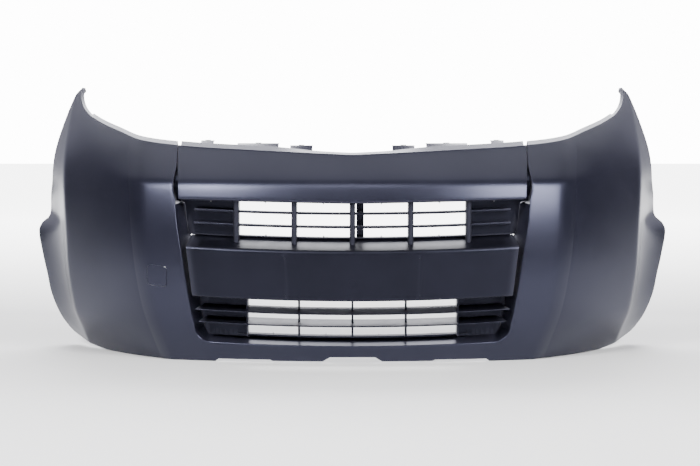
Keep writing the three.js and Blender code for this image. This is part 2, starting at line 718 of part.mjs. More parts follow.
// Wall that closes the outer end of a grille, up to the mouth's wall.
const BLANK_Y = 66;
const BLANK_X = 450; // half-width before it is trimmed to the mouth
const BLANK_PLAY = 1.6; // clearance to the mouth's wall
function blank(side, from, floor, ceiling) {
  const section = rectangle(BLANK_Y, BLANK_Y + RIB, floor, ceiling);
  const slab = across(section, () => side * from, () => side * BLANK_X, 6);
  return slab.intersect(mouthSpace(BLANK_Y + RIB, BLANK_PLAY));
}

function upperGrille() {
  const { top, bottom } = UPPER_FLANGES;
  const topFlange = sweepX(span(-top, top, 10), (x) => {
    const z = noseEdge(Math.abs(x)) - GAP;
    return rectangle(bow(x) + BAR.front + 2, bow(x) + GRILLE_Y, z - RIB, z);
  });
  const lower = rectangle(62, SHELF.back, UPPER_FLOOR, UPPER_FLOOR + RIB);
  const bottomFlange = fullWidth(lower, () => bottom);
  const above = sweepX(span(-BLANK_X - 10, BLANK_X + 10, 10), (x) => {
    const z = noseEdge(Math.abs(x)) - GAP - RIB / 2;
    return rectangle(AHEAD, MOUTH_REACH, z, z + 60);
  });
  const blanks = both((side) => {
    return blank(side, UPPER_BLANK, UPPER_FLOOR - 1.2, UPPER_BLANK_TOP).subtract(above);
  });
  const bars = UPPER_BARS.z.map((z) => grilleBar(z));
  const shelf = [
    [-30, 200], [120, 200], [120, UPPER_FLOOR], [72, UPPER_FLOOR], [6, SHELF.frontZ + 1], [-30, 270],
  ];
  const posts = cut(join(POSTS.map(post)), fullWidth(shelf, () => 420));
  const holes = [...SCREWS.nose, ...SCREWS.plateTop, ...SCREWS.strut].map(holeFor);
  return cut(join(topFlange, bottomFlange, bars, blanks, posts), holes);
}

const SLATS = [92, 122]; // heights of the lower grille's front edges
const SLAT = { front: 8, back: 72, rise: 10, thickness: 3 };
const LOWER_RIBS = [-131, 0, 131];
const LOWER_FLANGES = { top: 374, bottom: 285 }; // half-widths
const LOWER_BLANK = 258; // the lower grille is closed from here outwards

// Half-width left for the slats in the mouth's lower corners, by height.
const lowerCorner = through([[62, 296], [67, 341], [75, 353], [87, 359], [110, 450]]);

function lowerGrille() {
  const flange = (z, width) => fullWidth(rectangle(60, SHELF.back, z, z + RIB), () => width);
  const slats = SLATS.map((z) => {
    const { front, back, rise, thickness } = SLAT;
    const rear = z + rise;
    const section = [[front, z], [back, rear], [back, rear + thickness], [front, z + thickness]];
    return fullWidth(section, (y, at) => Math.min(mouthHalf(y, at), lowerCorner(at)) - 8);
  });
  const blanks = both((side) => blank(side, LOWER_BLANK, LIP_Z, LOWER_TOP - 1));
  const rib = (x, front, width) => {
    const z = lift(x);
    const y = bow(x);
    const [low, high] = [LOWER_FLOOR + 1 + z, LOWER_TOP - 1 + z];
    return box(x - width / 2, x + width / 2, y + front, y + SLAT.back - 2, low, high);
  };
  const ribs = LOWER_RIBS.map((x) => rib(x, 40, 5));
  const frames = both((side) => rib(side * LOWER_BLANK, 22, 4));
  const upper = flange(LOWER_TOP - RIB, LOWER_FLANGES.top);
  const lower = flange(LOWER_FLOOR, LOWER_FLANGES.bottom);
  const holes = [...SCREWS.plateBottom, ...SCREWS.lip].map(holeFor);
  return cut(join(upper, lower, slats, blanks, ribs, frames), holes);
}

// ---------------------------------------------------------------- strut and wing brackets

const STRUT = { x: 19, half: 9, upperFront: 56, lowerFront: 76, back: 100 };

function centreStrut() {
  const { x, half, upperFront, lowerFront, back } = STRUT;
  const top = noseEdge(x) + RIB + GAP;
  const bottom = SHELF.backZ - RIB - GAP;
  const web = back - RIB;
  const points = [
    [upperFront, top], [web, top], [web, bottom], [lowerFront, bottom],
    [lowerFront, bottom - RIB], [back, bottom - RIB], [back, top + RIB], [upperFront, top + RIB],
  ];
  return cut(prismX(points, x - half, x + half), SCREWS.strut.map(holeFor));
}

const BRACKET_ROWS = [380, 430, 490, 550, 600];
const BRACKET = { off: 6, width: 36, depth: 45 }; // off the skin; across and forwards

function wingBracket(side) {
  const mirror = (ring, z) => ring.map(([x, y]) => [side * x, y, z]);
  const rear = (z) => rearY(z) - RIB - GAP;
  const flange = BRACKET_ROWS.map((z) => {
    const outer = sideX(rear(z), z) - BRACKET.off;
    const inner = outer - BRACKET.width;
    const y = rear(z);
    return mirror([[outer, y], [inner, y], [inner, y - RIB], [outer, y - RIB]], z);
  });
  const along = BRACKET_ROWS.map((z) => {
    const y0 = rear(z) - BRACKET.depth;
    const y1 = rear(z);
    const x0 = sideX(y0, z) - BRACKET.off;
    const x1 = sideX(y1, z) - BRACKET.off;
    return mirror([[x0, y0], [x1, y1], [x1 - RIB, y1], [x0 - RIB, y0]], z);
  });
  return cut(join(loft(flange), loft(along)), SCREWS.wing.map(holeFor));
}

// U-shaped spring nut pushed over the rear edge of a bonnet tab.
const NUT = { width: 14, reach: 12, bend: 3, sheet: 1, play: 0.4 };

function springNut(tab, side) {
  const x = (side * (tab[0] + tab[1])) / 2;
  const { width, reach, bend, sheet, play } = NUT;
  const top = tabZ(tab) + play;
  const bottom = tabZ(tab) - RIB - play;
  const front = tabY(x) + TAB.depth - reach;
  const back = tabY(x) + TAB.depth + bend;
  const points = [
    [front, bottom - sheet], [back + sheet, bottom - sheet], [back + sheet, top + sheet],
    [front, top + sheet], [front, top], [back, top], [back, bottom], [front, bottom],
  ];
  return prismX(points, x - width / 2, x + width / 2);
}

// ---------------------------------------------------------------- where the screws go

const UP = [0, 0, 1];
const DOWN = [0, 0, -1];
const BEARING = 0.3; // clearance under every screw head

const SCREW_Z = { seam: [493, 518], wing: [430, 560] };
const SCREW_X = {
  nose: [-350, -214, -71, 71, 214, 350],
  upper: [-214, -71, 71, 214],
  lower: [-196, -65, 65, 196],
};
const SCREW_Y = { seam: 16, nose: 62, plate: 82, lip: 84, strutTop: 66, strutBottom: 84 };
const WING_SCREW_INSET = 13; // in from the wing's outside

// A screw at x that is set up or down through flanges that follow the front's curve.
const onCurve = (x, y, z, axis) => ({ at: [x, bow(x) + y, z + lift(x)], axis });

const SCREWS = {
  seam: both((side) => SCREW_Z.seam.map((z) => {
    const x = noseHalf(z);
    const inner = x - RIB - BEARING - 0.6;
    return { at: [side * inner, skinY(x, z) + SCREW_Y.seam, z], axis: [-side, 0, 0] };
  })).flat(),
  nose: SCREW_X.nose.map((x) => ({
    at: [x, bow(x) + SCREW_Y.nose, noseEdge(Math.abs(x)) + RIB + 2 * BEARING],
    axis: UP,
  })),
  plateTop: SCREW_X.upper.map((x) => {
    return onCurve(x, SCREW_Y.plate, SHELF.backZ - RIB - BEARING, DOWN);
  }),
  plateBottom: SCREW_X.lower.map((x) => {
    return onCurve(x, SCREW_Y.plate, PLATE.bottom + RIB + BEARING, UP);
  }),
  lip: SCREW_X.lower.map((x) => onCurve(x, SCREW_Y.lip, LIP_BACK - RIB - BEARING, DOWN)),
  wing: both((side) => SCREW_Z.wing.map((z) => {
    const x = sideX(rearY(z), z) - WING_SCREW_INSET;
    return { at: [side * x, rearY(z) + BEARING + 0.1, z], axis: [0, 1, -WING_SLOPE] };
  })).flat(),
  strut: [
    { at: [STRUT.x, SCREW_Y.strutTop, noseEdge(STRUT.x) + 2 * RIB + GAP + BEARING], axis: UP },
    { at: [STRUT.x, SCREW_Y.strutBottom, SHELF.backZ - 2 * RIB - GAP - BEARING], axis: DOWN },
  ],
};

// ---------------------------------------------------------------- the assembly

const PAINTED = { color: 0x2e2e38, roughness: 0.4, metalness: 0 };
const BLACK = { color: 0x1b1b20, roughness: 0.5, metalness: 0 };
const STEEL = { color: 0x8c8f94, roughness: 0.35, metalness: 1 };

const assembly = new THREE.Group();

function add(name, solid, look) {
  const mesh = new THREE.Mesh(geometryOf(solid), new THREE.MeshStandardMaterial(look));
  mesh.name = name;
  assembly.add(mesh);
}

const shell = skinShell();
add("outer_cover", outerCover(shell), PAINTED);
add("nose_panel", nosePanel(shell), PAINTED);
add("upper_grille", upperGrille(), BLACK);
add("number_plate_panel", platePanel(), BLACK);
add("lower_grille", lowerGrille(), BLACK);
add("tow_eye_cap", towEyeCap(shell), PAINTED);
add("centre_strut", centreStrut(), BLACK);
for (const [word, side] of [["left", 1], ["right", -1]]) {
  add(`wing_bracket_${word}`, wingBracket(side), BLACK);
  BONNET_TABS.forEach((tab, i) => add(`spring_nut_${word}_${i + 1}`, springNut(tab, side), STEEL));
}
const SCREW_NAMES = {
  seam: "seam_screw",
  nose: "nose_screw",
  plateTop: "plate_panel_upper_screw",
  plateBottom: "plate_panel_lower_screw",
  lip: "lip_screw",
  wing: "wing_bracket_screw",
  strut: "strut_screw",
};
for (const [group, name] of Object.entries(SCREW_NAMES)) {
  SCREWS[group].forEach((place, i) => add(`${name}_${i + 1}`, screwAt(place), STEEL));
}

assembly.position.y = -LENGTH / 2;
assembly.updateMatrixWorld(true);

export default assembly;
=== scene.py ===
import math

import bmesh
import bpy
import numpy as np
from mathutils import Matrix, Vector
from mathutils.geometry import delaunay_2d_cdt


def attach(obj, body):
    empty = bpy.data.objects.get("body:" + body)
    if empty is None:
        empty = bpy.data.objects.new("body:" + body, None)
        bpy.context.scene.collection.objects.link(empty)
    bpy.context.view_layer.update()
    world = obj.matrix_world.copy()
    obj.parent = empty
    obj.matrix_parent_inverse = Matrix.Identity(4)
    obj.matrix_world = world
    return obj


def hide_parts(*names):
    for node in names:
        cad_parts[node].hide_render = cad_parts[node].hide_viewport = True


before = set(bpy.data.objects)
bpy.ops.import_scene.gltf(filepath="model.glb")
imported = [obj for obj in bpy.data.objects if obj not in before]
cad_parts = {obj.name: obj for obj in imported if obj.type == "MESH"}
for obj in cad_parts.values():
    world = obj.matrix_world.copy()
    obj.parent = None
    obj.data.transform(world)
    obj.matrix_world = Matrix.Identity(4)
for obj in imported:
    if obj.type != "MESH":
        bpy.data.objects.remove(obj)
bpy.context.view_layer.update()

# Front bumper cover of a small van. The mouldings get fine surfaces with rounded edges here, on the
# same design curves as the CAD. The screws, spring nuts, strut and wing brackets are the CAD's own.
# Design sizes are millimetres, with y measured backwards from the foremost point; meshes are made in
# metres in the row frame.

MM = 0.001

# ---------------------------------------------------------------- design sizes, as in the CAD

WALL = 3.0
RIB = 2.5
LENGTH = 600.0
HEIGHT = 690.0
FRONT_RADIUS = 1650.0
SECTION_RADIUS = 750.0
FOREMOST_Z = 224.0
SIDES = (540, 200)  # the half-width where the sides' section starts, and how far it takes to be full
BELT_Z = 444.0
BELT_SLOPE = 0.95
BELT_SOFT = (8, 50)  # the bend's softness in front, and what the sides add to it
BELT_RISE = 50.0
TUCK_Z = 84.0
TUCK_SLOPE = (0.15, 0.35)  # in front, and what the sides add to it
TUCK_SOFT = 20
STEP_DEPTH = 14.0
STEP_WIDTH = 12.0
STEP_SOFT = 0.12
STEP_BLEND = 3.0
STEP_TOP, STEP_FADE = 574, 60
SIDE_Y = 285.0
SIDE_SLOPE = 3.0
CREASE = 6.0
CORNER_BULGE = 7.0
OUTER_X = 850.0
AXLE_Y, AXLE_Z, ARCH_RADIUS = 800.0, 130.0, 380.0
ARCH_TOP = 345.0
ARCH_LIP_START, ARCH_LIP_POWER = 320, 1.7
GRILLE_Y = 74.0
DRAFT_SIDE, DRAFT_LOWER, DRAFT_TOP = 25.0, 18.0, 388.0
DRAFT_FADE = 12.0
LIFT_RADIUS = 8500.0
SEAM_DEPTH = 28.0
LIP_Z = 43.0
MOUTH_CORNER = 40.0
NOSE_BOTTOM = 402.0


# ---------------------------------------------------------------- curves and the outer skin

def through(points):
    """A smooth curve through a few points, as a function of their first coordinate."""
    xs, ys = np.array(points, float).T
    last = len(xs) - 1
    before = np.maximum(np.arange(last + 1) - 1, 0)
    after = np.minimum(np.arange(last + 1) + 1, last)
    slope = (ys[after] - ys[before]) / (xs[after] - xs[before])

    def curve(at):
        x = np.clip(at, xs[0], xs[-1])
        i = np.clip(np.searchsorted(xs, x) - 1, 0, last - 1)
        h = xs[i + 1] - xs[i]
        t = (x - xs[i]) / h
        start = (2 * t**3 - 3 * t**2 + 1) * ys[i] + (t**3 - 2 * t**2 + t) * h * slope[i]
        end = (3 * t**2 - 2 * t**3) * ys[i + 1] + (t**3 - t**2) * h * slope[i + 1]
        return start + end

    return curve


centre_edge = through([
    (0, 466), (40, 480), (132, 510), (222, 527), (283, 535),
    (345, 541), (435, 547), (475, 553), (521, 562), (575, 566),
])
corner_edge = through([
    (0, 690), (37, 701), (75, 713), (110, 723), (205, 737),
    (332, 746), (430, 753), (521, 759), (620, 762),
])
top_edge = through([(0, 511), (270, 524), (437, 534), (544, 548), (608, 571), (657, 590), (697, 610)])
nose_edge = through([(0, 394), (268, 399), (430, 402)])
mouth_edge = through([
    (80, 386), (112, 394), (132, 398), (246, 416), (338, 431),
    (400, 438), (433, 444), (484, 439), (540, 444),
])
nose_half = through([(402, 429), (410, 429.6), (440, 431.5), (472, 434.5), (484, 437.2), (540, 442.2)])
lip_out = through([
    (0, 8), (28, 15), (60, 26), (103, 31), (141, 36), (189, 37), (245, 42), (302, 45),
    (324, 33), (336, 16), (350, 8), (400, 5), (440, 0), (700, 0),
])


def ease(t):
    t = np.clip(t, 0, 1)
    return t * t * (3 - 2 * t)


def soft_ramp(t, r):
    return (t + np.hypot(t, r)) / 2


def soft_max(a, b, r):
    return (a + b + np.hypot(a - b, r)) / 2


def bow(x):
    return x * x / (2 * FRONT_RADIUS)


def lift(x):
    return x * x / (2 * LIFT_RADIUS)


def skin_y(x, z):
    a = np.abs(x)
    x1 = centre_edge(z) + STEP_WIDTH
    x2 = corner_edge(z)
    down = (a - x1 + STEP_WIDTH) / STEP_WIDTH
    step = STEP_DEPTH * (soft_ramp(down, STEP_SOFT) - soft_ramp(down - 1, STEP_SOFT))
    step = step * ease((STEP_TOP - z) / STEP_FADE)
    y1 = bow(x1) + STEP_DEPTH
    t = (a - x1) / (x2 - x1)
    corner = y1 + (SIDE_Y - y1) * t - CORNER_BULGE * 4 * t * (1 - t)
    side = SIDE_Y + (a - x2) * SIDE_SLOPE
    plan = soft_max(soft_max(bow(a) + step, corner, STEP_BLEND), side, CREASE)
    outer = ease((a - SIDES[0]) / SIDES[1])
    section = (z - FOREMOST_Z) ** 2 / (2 * SECTION_RADIUS)
    belt = BELT_SLOPE * soft_ramp(z - BELT_Z - BELT_RISE * outer, BELT_SOFT[0] + BELT_SOFT[1] * outer)
    tuck = (TUCK_SLOPE[0] + TUCK_SLOPE[1] * outer) * soft_ramp(TUCK_Z - z, TUCK_SOFT)
    return plan + section + belt + tuck


def arch_y(z):
    return AXLE_Y - np.sqrt(np.maximum(ARCH_RADIUS**2 - (z - AXLE_Z) ** 2, 0))


WING_SLOPE = (LENGTH - arch_y(ARCH_TOP)) / (HEIGHT - ARCH_TOP)


def rear_y(z):
    return np.where(z < ARCH_TOP, arch_y(z), arch_y(ARCH_TOP) + (z - ARCH_TOP) * WING_SLOPE)


def lip_x(y, z):
    """How far the wheel-arch lip stands out."""
    run = (y - ARCH_LIP_START) / (arch_y(z) - ARCH_LIP_START)
    return lip_out(z) * np.clip(run, 0, 1) ** ARCH_LIP_POWER


def skin_point(x, z):
    """Points of the outer skin, in design millimetres, one row each."""
    x, z = np.broadcast_arrays(np.asarray(x, float), np.asarray(z, float))
    y = skin_y(x, z)
    return np.stack([x + np.sign(x) * lip_x(y, z), y, z], -1)


def unit(v):
    return v / np.maximum(np.linalg.norm(v, axis=-1, keepdims=True), 1e-12)


NUDGE = 0.5


def skin_normal(x, z):
    along = skin_point(x + NUDGE, z) - skin_point(x - NUDGE, z)
    up = skin_point(x, z + NUDGE) - skin_point(x, z - NUDGE)
    return unit(np.cross(along, up))


HALVINGS = 40


def side_x(y, z):
    """Where the skin, before the wheel-arch lip is added, reaches a depth on the side."""
    z = np.asarray(z, float)
    low = corner_edge(z) - 60
    high = np.full_like(low, OUTER_X + 40)
    for _ in range(HALVINGS):
        middle = (low + high) / 2
        nearer = skin_y(middle, z) < y
        low = np.where(nearer, middle, low)
        high = np.where(nearer, high, middle)
    return low


# ---------------------------------------------------------------- meshes

def make_object(name, points, faces):
    """An object from design points in millimetres."""
    mesh = bpy.data.meshes.new(name)
    placed = (np.asarray(points, float) - (0, LENGTH / 2, 0)) * MM
    mesh.from_pydata(placed.tolist(), [], faces)
    mesh.validate()
    mesh.update()
    obj = bpy.data.objects.new(name, mesh)
    bpy.context.scene.collection.objects.link(obj)
    return obj


def inside(polygon, points):
    """Which points lie inside a closed outline."""
    x, y = points[:, 0], points[:, 1]
    result = np.zeros(len(points), bool)
    for (x0, y0), (x1, y1) in zip(polygon, np.roll(polygon, -1, 0)):
        crosses = (y0 > y) != (y1 > y)
        with np.errstate(divide="ignore", invalid="ignore"):
            at = (x1 - x0) * (y - y0) / (y1 - y0) + x0
        result ^= crosses & (x < at)
    return result


def distance_to(polygon, points):
    nearest = np.full(len(points), np.inf)
    for a, b in zip(polygon, np.roll(polygon, -1, 0)):
        d = b - a
        t = np.clip(((points - a) @ d) / max(d @ d, 1e-9), 0, 1)
        nearest = np.minimum(nearest, np.linalg.norm(points - a - t[:, None] * d, axis=1))
    return nearest


STRETCH_FROM, STRETCH, STRETCH_SOFT = 738.0, 2.4, 20


def flat_u(x):
    """x drawn out on the sides, so that distances there are near the real ones."""
    a = np.abs(x)
    return np.sign(x) * (a + STRETCH * soft_ramp(a - STRETCH_FROM, STRETCH_SOFT))


def flattened(xz):
    return np.stack([flat_u(xz[:, 0]), xz[:, 1]], -1)


def spaced(corners, step, closed=False):
    """A line through corners [x, z], redone at about equal steps and keeping the corners."""
    corners = np.asarray(corners, float)
    ends = np.roll(corners, -1, 0) if closed else corners[1:]
    result = []
    for a, b in zip(corners, ends):
        length = math.hypot(flat_u(b[0]) - flat_u(a[0]), b[1] - a[1])
        n = max(int(round(length / step)), 1)
        result.extend(a + (b - a) * i / n for i in range(n))
    if not closed:
        result.append(corners[-1])
    return np.array(result)


ROW_STEP = 7.0
STEP_STOPS = [-0.15, 0, 0.1, 0.25, 0.5, 0.75, 0.9, 1.0, 1.15, 1.4]


def interior_grid():
    """Points over the whole skin, in rows, closer together at its creases."""
    rows = []
    for z in np.arange(ROW_STEP / 2, HEIGHT, ROW_STEP):
        x1 = float(centre_edge(z))
        x2 = float(corner_edge(z))
        stretches = [
            np.linspace(0, x1 - 4, 54),
            x1 + STEP_WIDTH * np.array(STEP_STOPS),
            np.linspace(x1 + STEP_WIDTH + 12, x2 - 24, 17),
            np.linspace(x2 - 18, x2 + 18, 13),
            np.linspace(x2 + 21, OUTER_X, 34),
        ]
        right = np.concatenate(stretches)
        x = np.concatenate([-right[:0:-1], right])
        rows.append(np.stack([x, np.full_like(x, z)], -1))
    return np.concatenate(rows)


ARC_STEPS = 4
LEAST_TURN, MOST_TURN = 0.05, 2.6
TIP_ROUNDING = 0.8
ROOT_RISE = 0.3
LEAST_REACH = 0.2


def edge_profiles(x, z, outwards, radius, length, direction):
    """For each point of an outline, the points of a rounded edge, its flange and the way back."""
    p = skin_point(x, z)
    n = skin_normal(x, z)
    across = skin_point(x + outwards[:, 0] * NUDGE, z + outwards[:, 1] * NUDGE) - p
    t = unit(across - (across * n).sum(-1, keepdims=True) * n)
    lean = np.arctan2((direction * t).sum(-1), -(direction * n).sum(-1))
    turn = np.clip(math.pi / 2 - lean, LEAST_TURN, MOST_TURN)
    centre = p - n * radius[:, None]
    columns = [p]
    for i in range(1, ARC_STEPS + 1):
        a = (turn * i / ARC_STEPS)[:, None]
        columns.append(centre + radius[:, None] * (n * np.cos(a) + t * np.sin(a)))
    facing = n * np.cos(turn)[:, None] + t * np.sin(turn)[:, None]
    tip = columns[-1] + direction * length[:, None]
    round_off = np.minimum(TIP_ROUNDING, length * 0.3)[:, None]
    columns.append(tip - direction * round_off)
    columns.append(tip - facing * round_off)
    columns.append(tip - facing * (RIB - round_off))
    columns.append(tip - facing * RIB - direction * round_off)
    inner = p - n * WALL
    corner = inner + t * np.maximum(radius - RIB, LEAST_REACH)[:, None]
    columns.append(corner + direction * ROOT_RISE)
    columns.append(inner)
    return columns


LEAST_COSINE, LEAST_STRETCH = 0.5, 0.5


def inset_outline(loop, hole):
    """An outline moved in by its rounding's radius, and the way off the piece at each point."""
    xz = loop[:, :2]
    scale = np.stack([flat_u(xz[:, 0] + 1) - flat_u(xz[:, 0] - 1), np.full(len(xz), 2.0)], -1) / 2
    ahead = unit((np.roll(xz, -1, 0) - xz) * scale)
    tangent = unit(ahead + np.roll(ahead, 1, 0))
    mitre = 1 / np.maximum((tangent * ahead).sum(-1), LEAST_COSINE)
    area = np.sum(xz[:, 0] * np.roll(xz[:, 1], -1) - np.roll(xz[:, 0], -1) * xz[:, 1])
    turn = 1 if (area > 0) != hole else -1
    outwards = np.stack([tangent[:, 1], -tangent[:, 0]], -1) * turn / scale
    one_off = skin_point(xz[:, 0] + outwards[:, 0], xz[:, 1] + outwards[:, 1])
    stretch = np.linalg.norm(one_off - skin_point(xz[:, 0], xz[:, 1]), axis=1)
    return xz - outwards * (mitre * loop[:, 2] / np.maximum(stretch, LEAST_STRETCH))[:, None], outwards


def within(outlines, points):
    """Which points lie inside the first outline and outside the others."""
    result = inside(outlines[0], points)
    for hole in outlines[1:]:
        result &= ~inside(hole, points)
    return result


EDGE_CLEARANCE = 3.2


def interior_points(outlines):
    """The grid's points on the piece that are clear of its edges."""
    grid = interior_grid()
    flat = flattened(grid)
    keep = within(outlines, flat)
    for outline in outlines:
        near = keep.copy()
        near[keep] = distance_to(outline, flat[keep]) > EDGE_CLEARANCE
        keep = near
    return grid[keep]


def triangulated(xz, outlines, edges):
    """Triangles between the points, inside the outlines, facing outwards."""
    flat = flattened(xz)
    result = delaunay_2d_cdt([Vector(p) for p in flat], edges, [], 0, 1e-6)
    origin = [o[0] for o in result[3]]
    triangles = np.array([[origin[i] for i in f] for f in result[2]])
    triangles = triangles[within(outlines, flat[triangles].mean(1))]
    a, b, c = (skin_point(*xz[triangles[:, i]].T) for i in range(3))
    facing = (np.cross(b - a, c - a) * skin_normal(*xz[triangles[:, 0]].T)).sum(-1)
    triangles[facing < 0] = triangles[facing < 0][:, ::-1]
    return triangles


def skin_piece(name, loops):
    """A closed moulding on the outer skin, with flanged edges.

    It lies inside the first loop and outside the others. Each loop is rows of
    [x, z, radius, length, dx, dy, dz]: the true edge, its rounding and its flange."""
    insets = [inset_outline(loop, hole=i > 0) for i, loop in enumerate(loops)]
    outlines = [flattened(outline) for outline, _ in insets]
    xz = np.concatenate([outline for outline, _ in insets] + [interior_points(outlines)])
    starts = np.cumsum([0] + [len(outline) for outline in outlines])
    edges = []
    for start, outline in zip(starts, outlines):
        n = len(outline)
        edges += [(int(start + i), int(start + (i + 1) % n)) for i in range(n)]
    triangles = triangulated(xz, outlines, edges)
    skin = skin_point(*xz.T)
    count = len(xz)
    points = [skin, skin - skin_normal(*xz.T) * WALL]
    faces = triangles.tolist() + (triangles[:, ::-1] + count).tolist()
    sides = {(int(t[i]), int(t[(i + 1) % 3])) for t in triangles for i in range(3)}
    total = 2 * count
    for start, loop, (outline, outwards) in zip(starts, loops, insets):
        n = len(outline)
        columns = edge_profiles(*outline.T, outwards, loop[:, 2], loop[:, 3], unit(loop[:, 4:7]))
        ids = [np.arange(start, start + n)]
        for column in columns[1:-1]:
            points.append(column)
            ids.append(np.arange(total, total + n))
            total += n
        ids.append(np.arange(start, start + n) + count)
        for i in range(n):
            j = (i + 1) % n
            ordered = (start + i, start + j) in sides
            for near, far in zip(ids, ids[1:]):
                quad = [near[j], near[i], far[i], far[j]]
                faces.append([int(q) for q in (quad if ordered else quad[::-1])])
    return make_object(name, np.concatenate(points), faces)


def edge_path(*stretches):
    """Outline rows from stretches (points, radius, length, direction).

    Where two stretches share a point, it gets the middle of their settings."""
    result = []
    for points, radius, length, direction in stretches:
        points = np.asarray(points, float)
        rows = np.hstack([points, np.tile([radius, length, *direction], (len(points), 1))])
        if result and math.dist(result[-1][:2], rows[0][:2]) < 1:
            rows[0, 2:] = (rows[0, 2:] + result.pop()[2:]) / 2
        result.extend(rows)
    return np.array(result)


def mirrored(path):
    """An outline's left-hand half, running the other way."""
    flipped = path[::-1].copy()
    flipped[:, 0] *= -1
    flipped[:, 4] *= -1
    return flipped


def loft(rings):
    """A solid through rings of points: (points, faces)."""
    rings = np.asarray(rings, float)
    count, n = rings.shape[:2]
    faces = []
    for r in range(count - 1):
        a, b = r * n, (r + 1) * n
        faces += [[a + i, a + (i + 1) % n, b + (i + 1) % n, b + i] for i in range(n)]
    faces.append(list(range(n))[::-1])
    faces.append([(count - 1) * n + i for i in range(n)])
    return rings.reshape(-1, 3), faces


SHARP, MOST_OF_SIDE = 0.05, 0.45


def rounded(section, radius, steps=3):
    """A section [y, z] with its corners rounded, each by its own radius or by one for all."""
    section = np.asarray(section, float)
    radii = np.broadcast_to(radius, len(section))
    result = []
    for i, r in enumerate(radii):
        p, a, b = section[i], section[i - 1], section[(i + 1) % len(section)]
        if r < SHARP:
            result.append(p)
            continue
        da, db = unit(a - p), unit(b - p)
        reach = min(r, MOST_OF_SIDE * np.linalg.norm(a - p), MOST_OF_SIDE * np.linalg.norm(b - p))
        for k in range(steps + 1):
            t = k / steps
            result.append(p + da * reach * (1 - t) ** 2 + db * reach * t**2)
    return np.array(result)


def across(section, start, stop, steps):
    """A section [y, z] carried along the front's curve between two half-widths, each of y and z."""
    section = np.asarray(section, float)
    y, z = section.T
    rings = []
    for t in np.linspace(0, 1, steps + 1):
        x = start(y, z) * (1 - t) + stop(y, z) * t
        rings.append(np.stack([x, y + bow(x), z + lift(x)], -1))
    return loft(rings)


def full_width(section, half, steps=48):
    return across(section, lambda y, z: -half(y, z), half, steps)


def sweep_x(xs, section):
    """A section [y, z], drawn anew at each x."""
    return loft([[(x, y, z) for y, z in section(x)] for x in xs])


def rectangle(y0, y1, z0, z1):
    return [(y0, z0), (y1, z0), (y1, z1), (y0, z1)]


def block(x0, x1, y0, y1, z0, z1, radius=0.0):
    """An upright bar along z with rounded corners in plan."""
    plan = rounded([(x0, y0), (x1, y0), (x1, y1), (x0, y1)], radius)
    return loft([[(x, y, z) for x, y in plan] for z in (z0, z1)])


def both(make):
    return [make(1), make(-1)]


def combine(obj, solids, operation="UNION"):
    """Joins closed solids to a piece, or takes them away from it, leaving one closed body."""
    for points, faces in solids:
        tool = outward(make_object("tool", points, faces))
        step = obj.modifiers.new("step", "BOOLEAN")
        step.operation = operation
        step.solver = "MANIFOLD"
        step.object = tool
        apply_modifiers(obj)
        bpy.data.objects.remove(tool)
    return obj


def outward(obj):
    """Turns a closed mesh's faces outwards."""
    bm = bmesh.new()
    bm.from_mesh(obj.data)
    if bm.calc_volume(signed=True) < 0:
        bmesh.ops.reverse_faces(bm, faces=bm.faces)
    bm.to_mesh(obj.data)
    bm.free()
    return obj


def apply_modifiers(obj):
    bpy.context.view_layer.update()
    shaped = obj.evaluated_get(bpy.context.evaluated_depsgraph_get())
    mesh = bpy.data.meshes.new_from_object(shaped)
    obj.modifiers.clear()
    obj.data = mesh


def from_solids(name, solids):
    return combine(outward(make_object(name, *solids[0])), solids[1:])


SHARP_ANGLE = math.radians(35)


def shade(obj):
    obj.data.polygons.foreach_set("use_smooth", [True] * len(obj.data.polygons))
    obj.data.set_sharp_from_angle(angle=SHARP_ANGLE)
    weighted = obj.modifiers.new("shading", "WEIGHTED_NORMAL")
    weighted.keep_sharp = True
    return obj


# ---------------------------------------------------------------- outer cover

HORN_ROOT, HORN_LEAD, HORN_TIP = (697, 610), (746, 642), (745, HEIGHT)
FOOT_FROM, FOOT_DEPTH = 345.0, 38.0
FOOT_CORNER_X, FOOT_CORNER_LEAD, FOOT_CORNER_Z = 640.0, (738, 13), 50.0
LAMP_LEDGE = (0, 0.923, 0.385)
RIM_ROUNDING, SEAM_ROUNDING = 3.6, 1.8
SEAM_FROM, SEAM_FADE = 410, 50
TOW_EYE_X, TOW_EYE_Z = -482.0, 213.5
TOW_EYE_HALF, TOW_EYE_RADIUS, TOW_EYE_SLANT = 25.7, 11.0, -0.1
CAP_CLEARANCE, CAP_LEG, CAP_SLEEVE = 0.7, 14.0, 26.0
SLEEVE_STOP, STOP_WALL = 5.0, 2
LIP_FLANGE_HALF = 232


def curve(start, control, end, steps):
    """A parabola from one point [x, z] to another, led by a third."""
    t = np.linspace(0, 1, steps + 1)[:, None]
    return (1 - t) ** 2 * np.array(start) + 2 * t * (1 - t) * np.array(control) + t**2 * np.array(end)


def rear_edge(z):
    return np.stack([side_x(rear_y(z), z), z], -1)


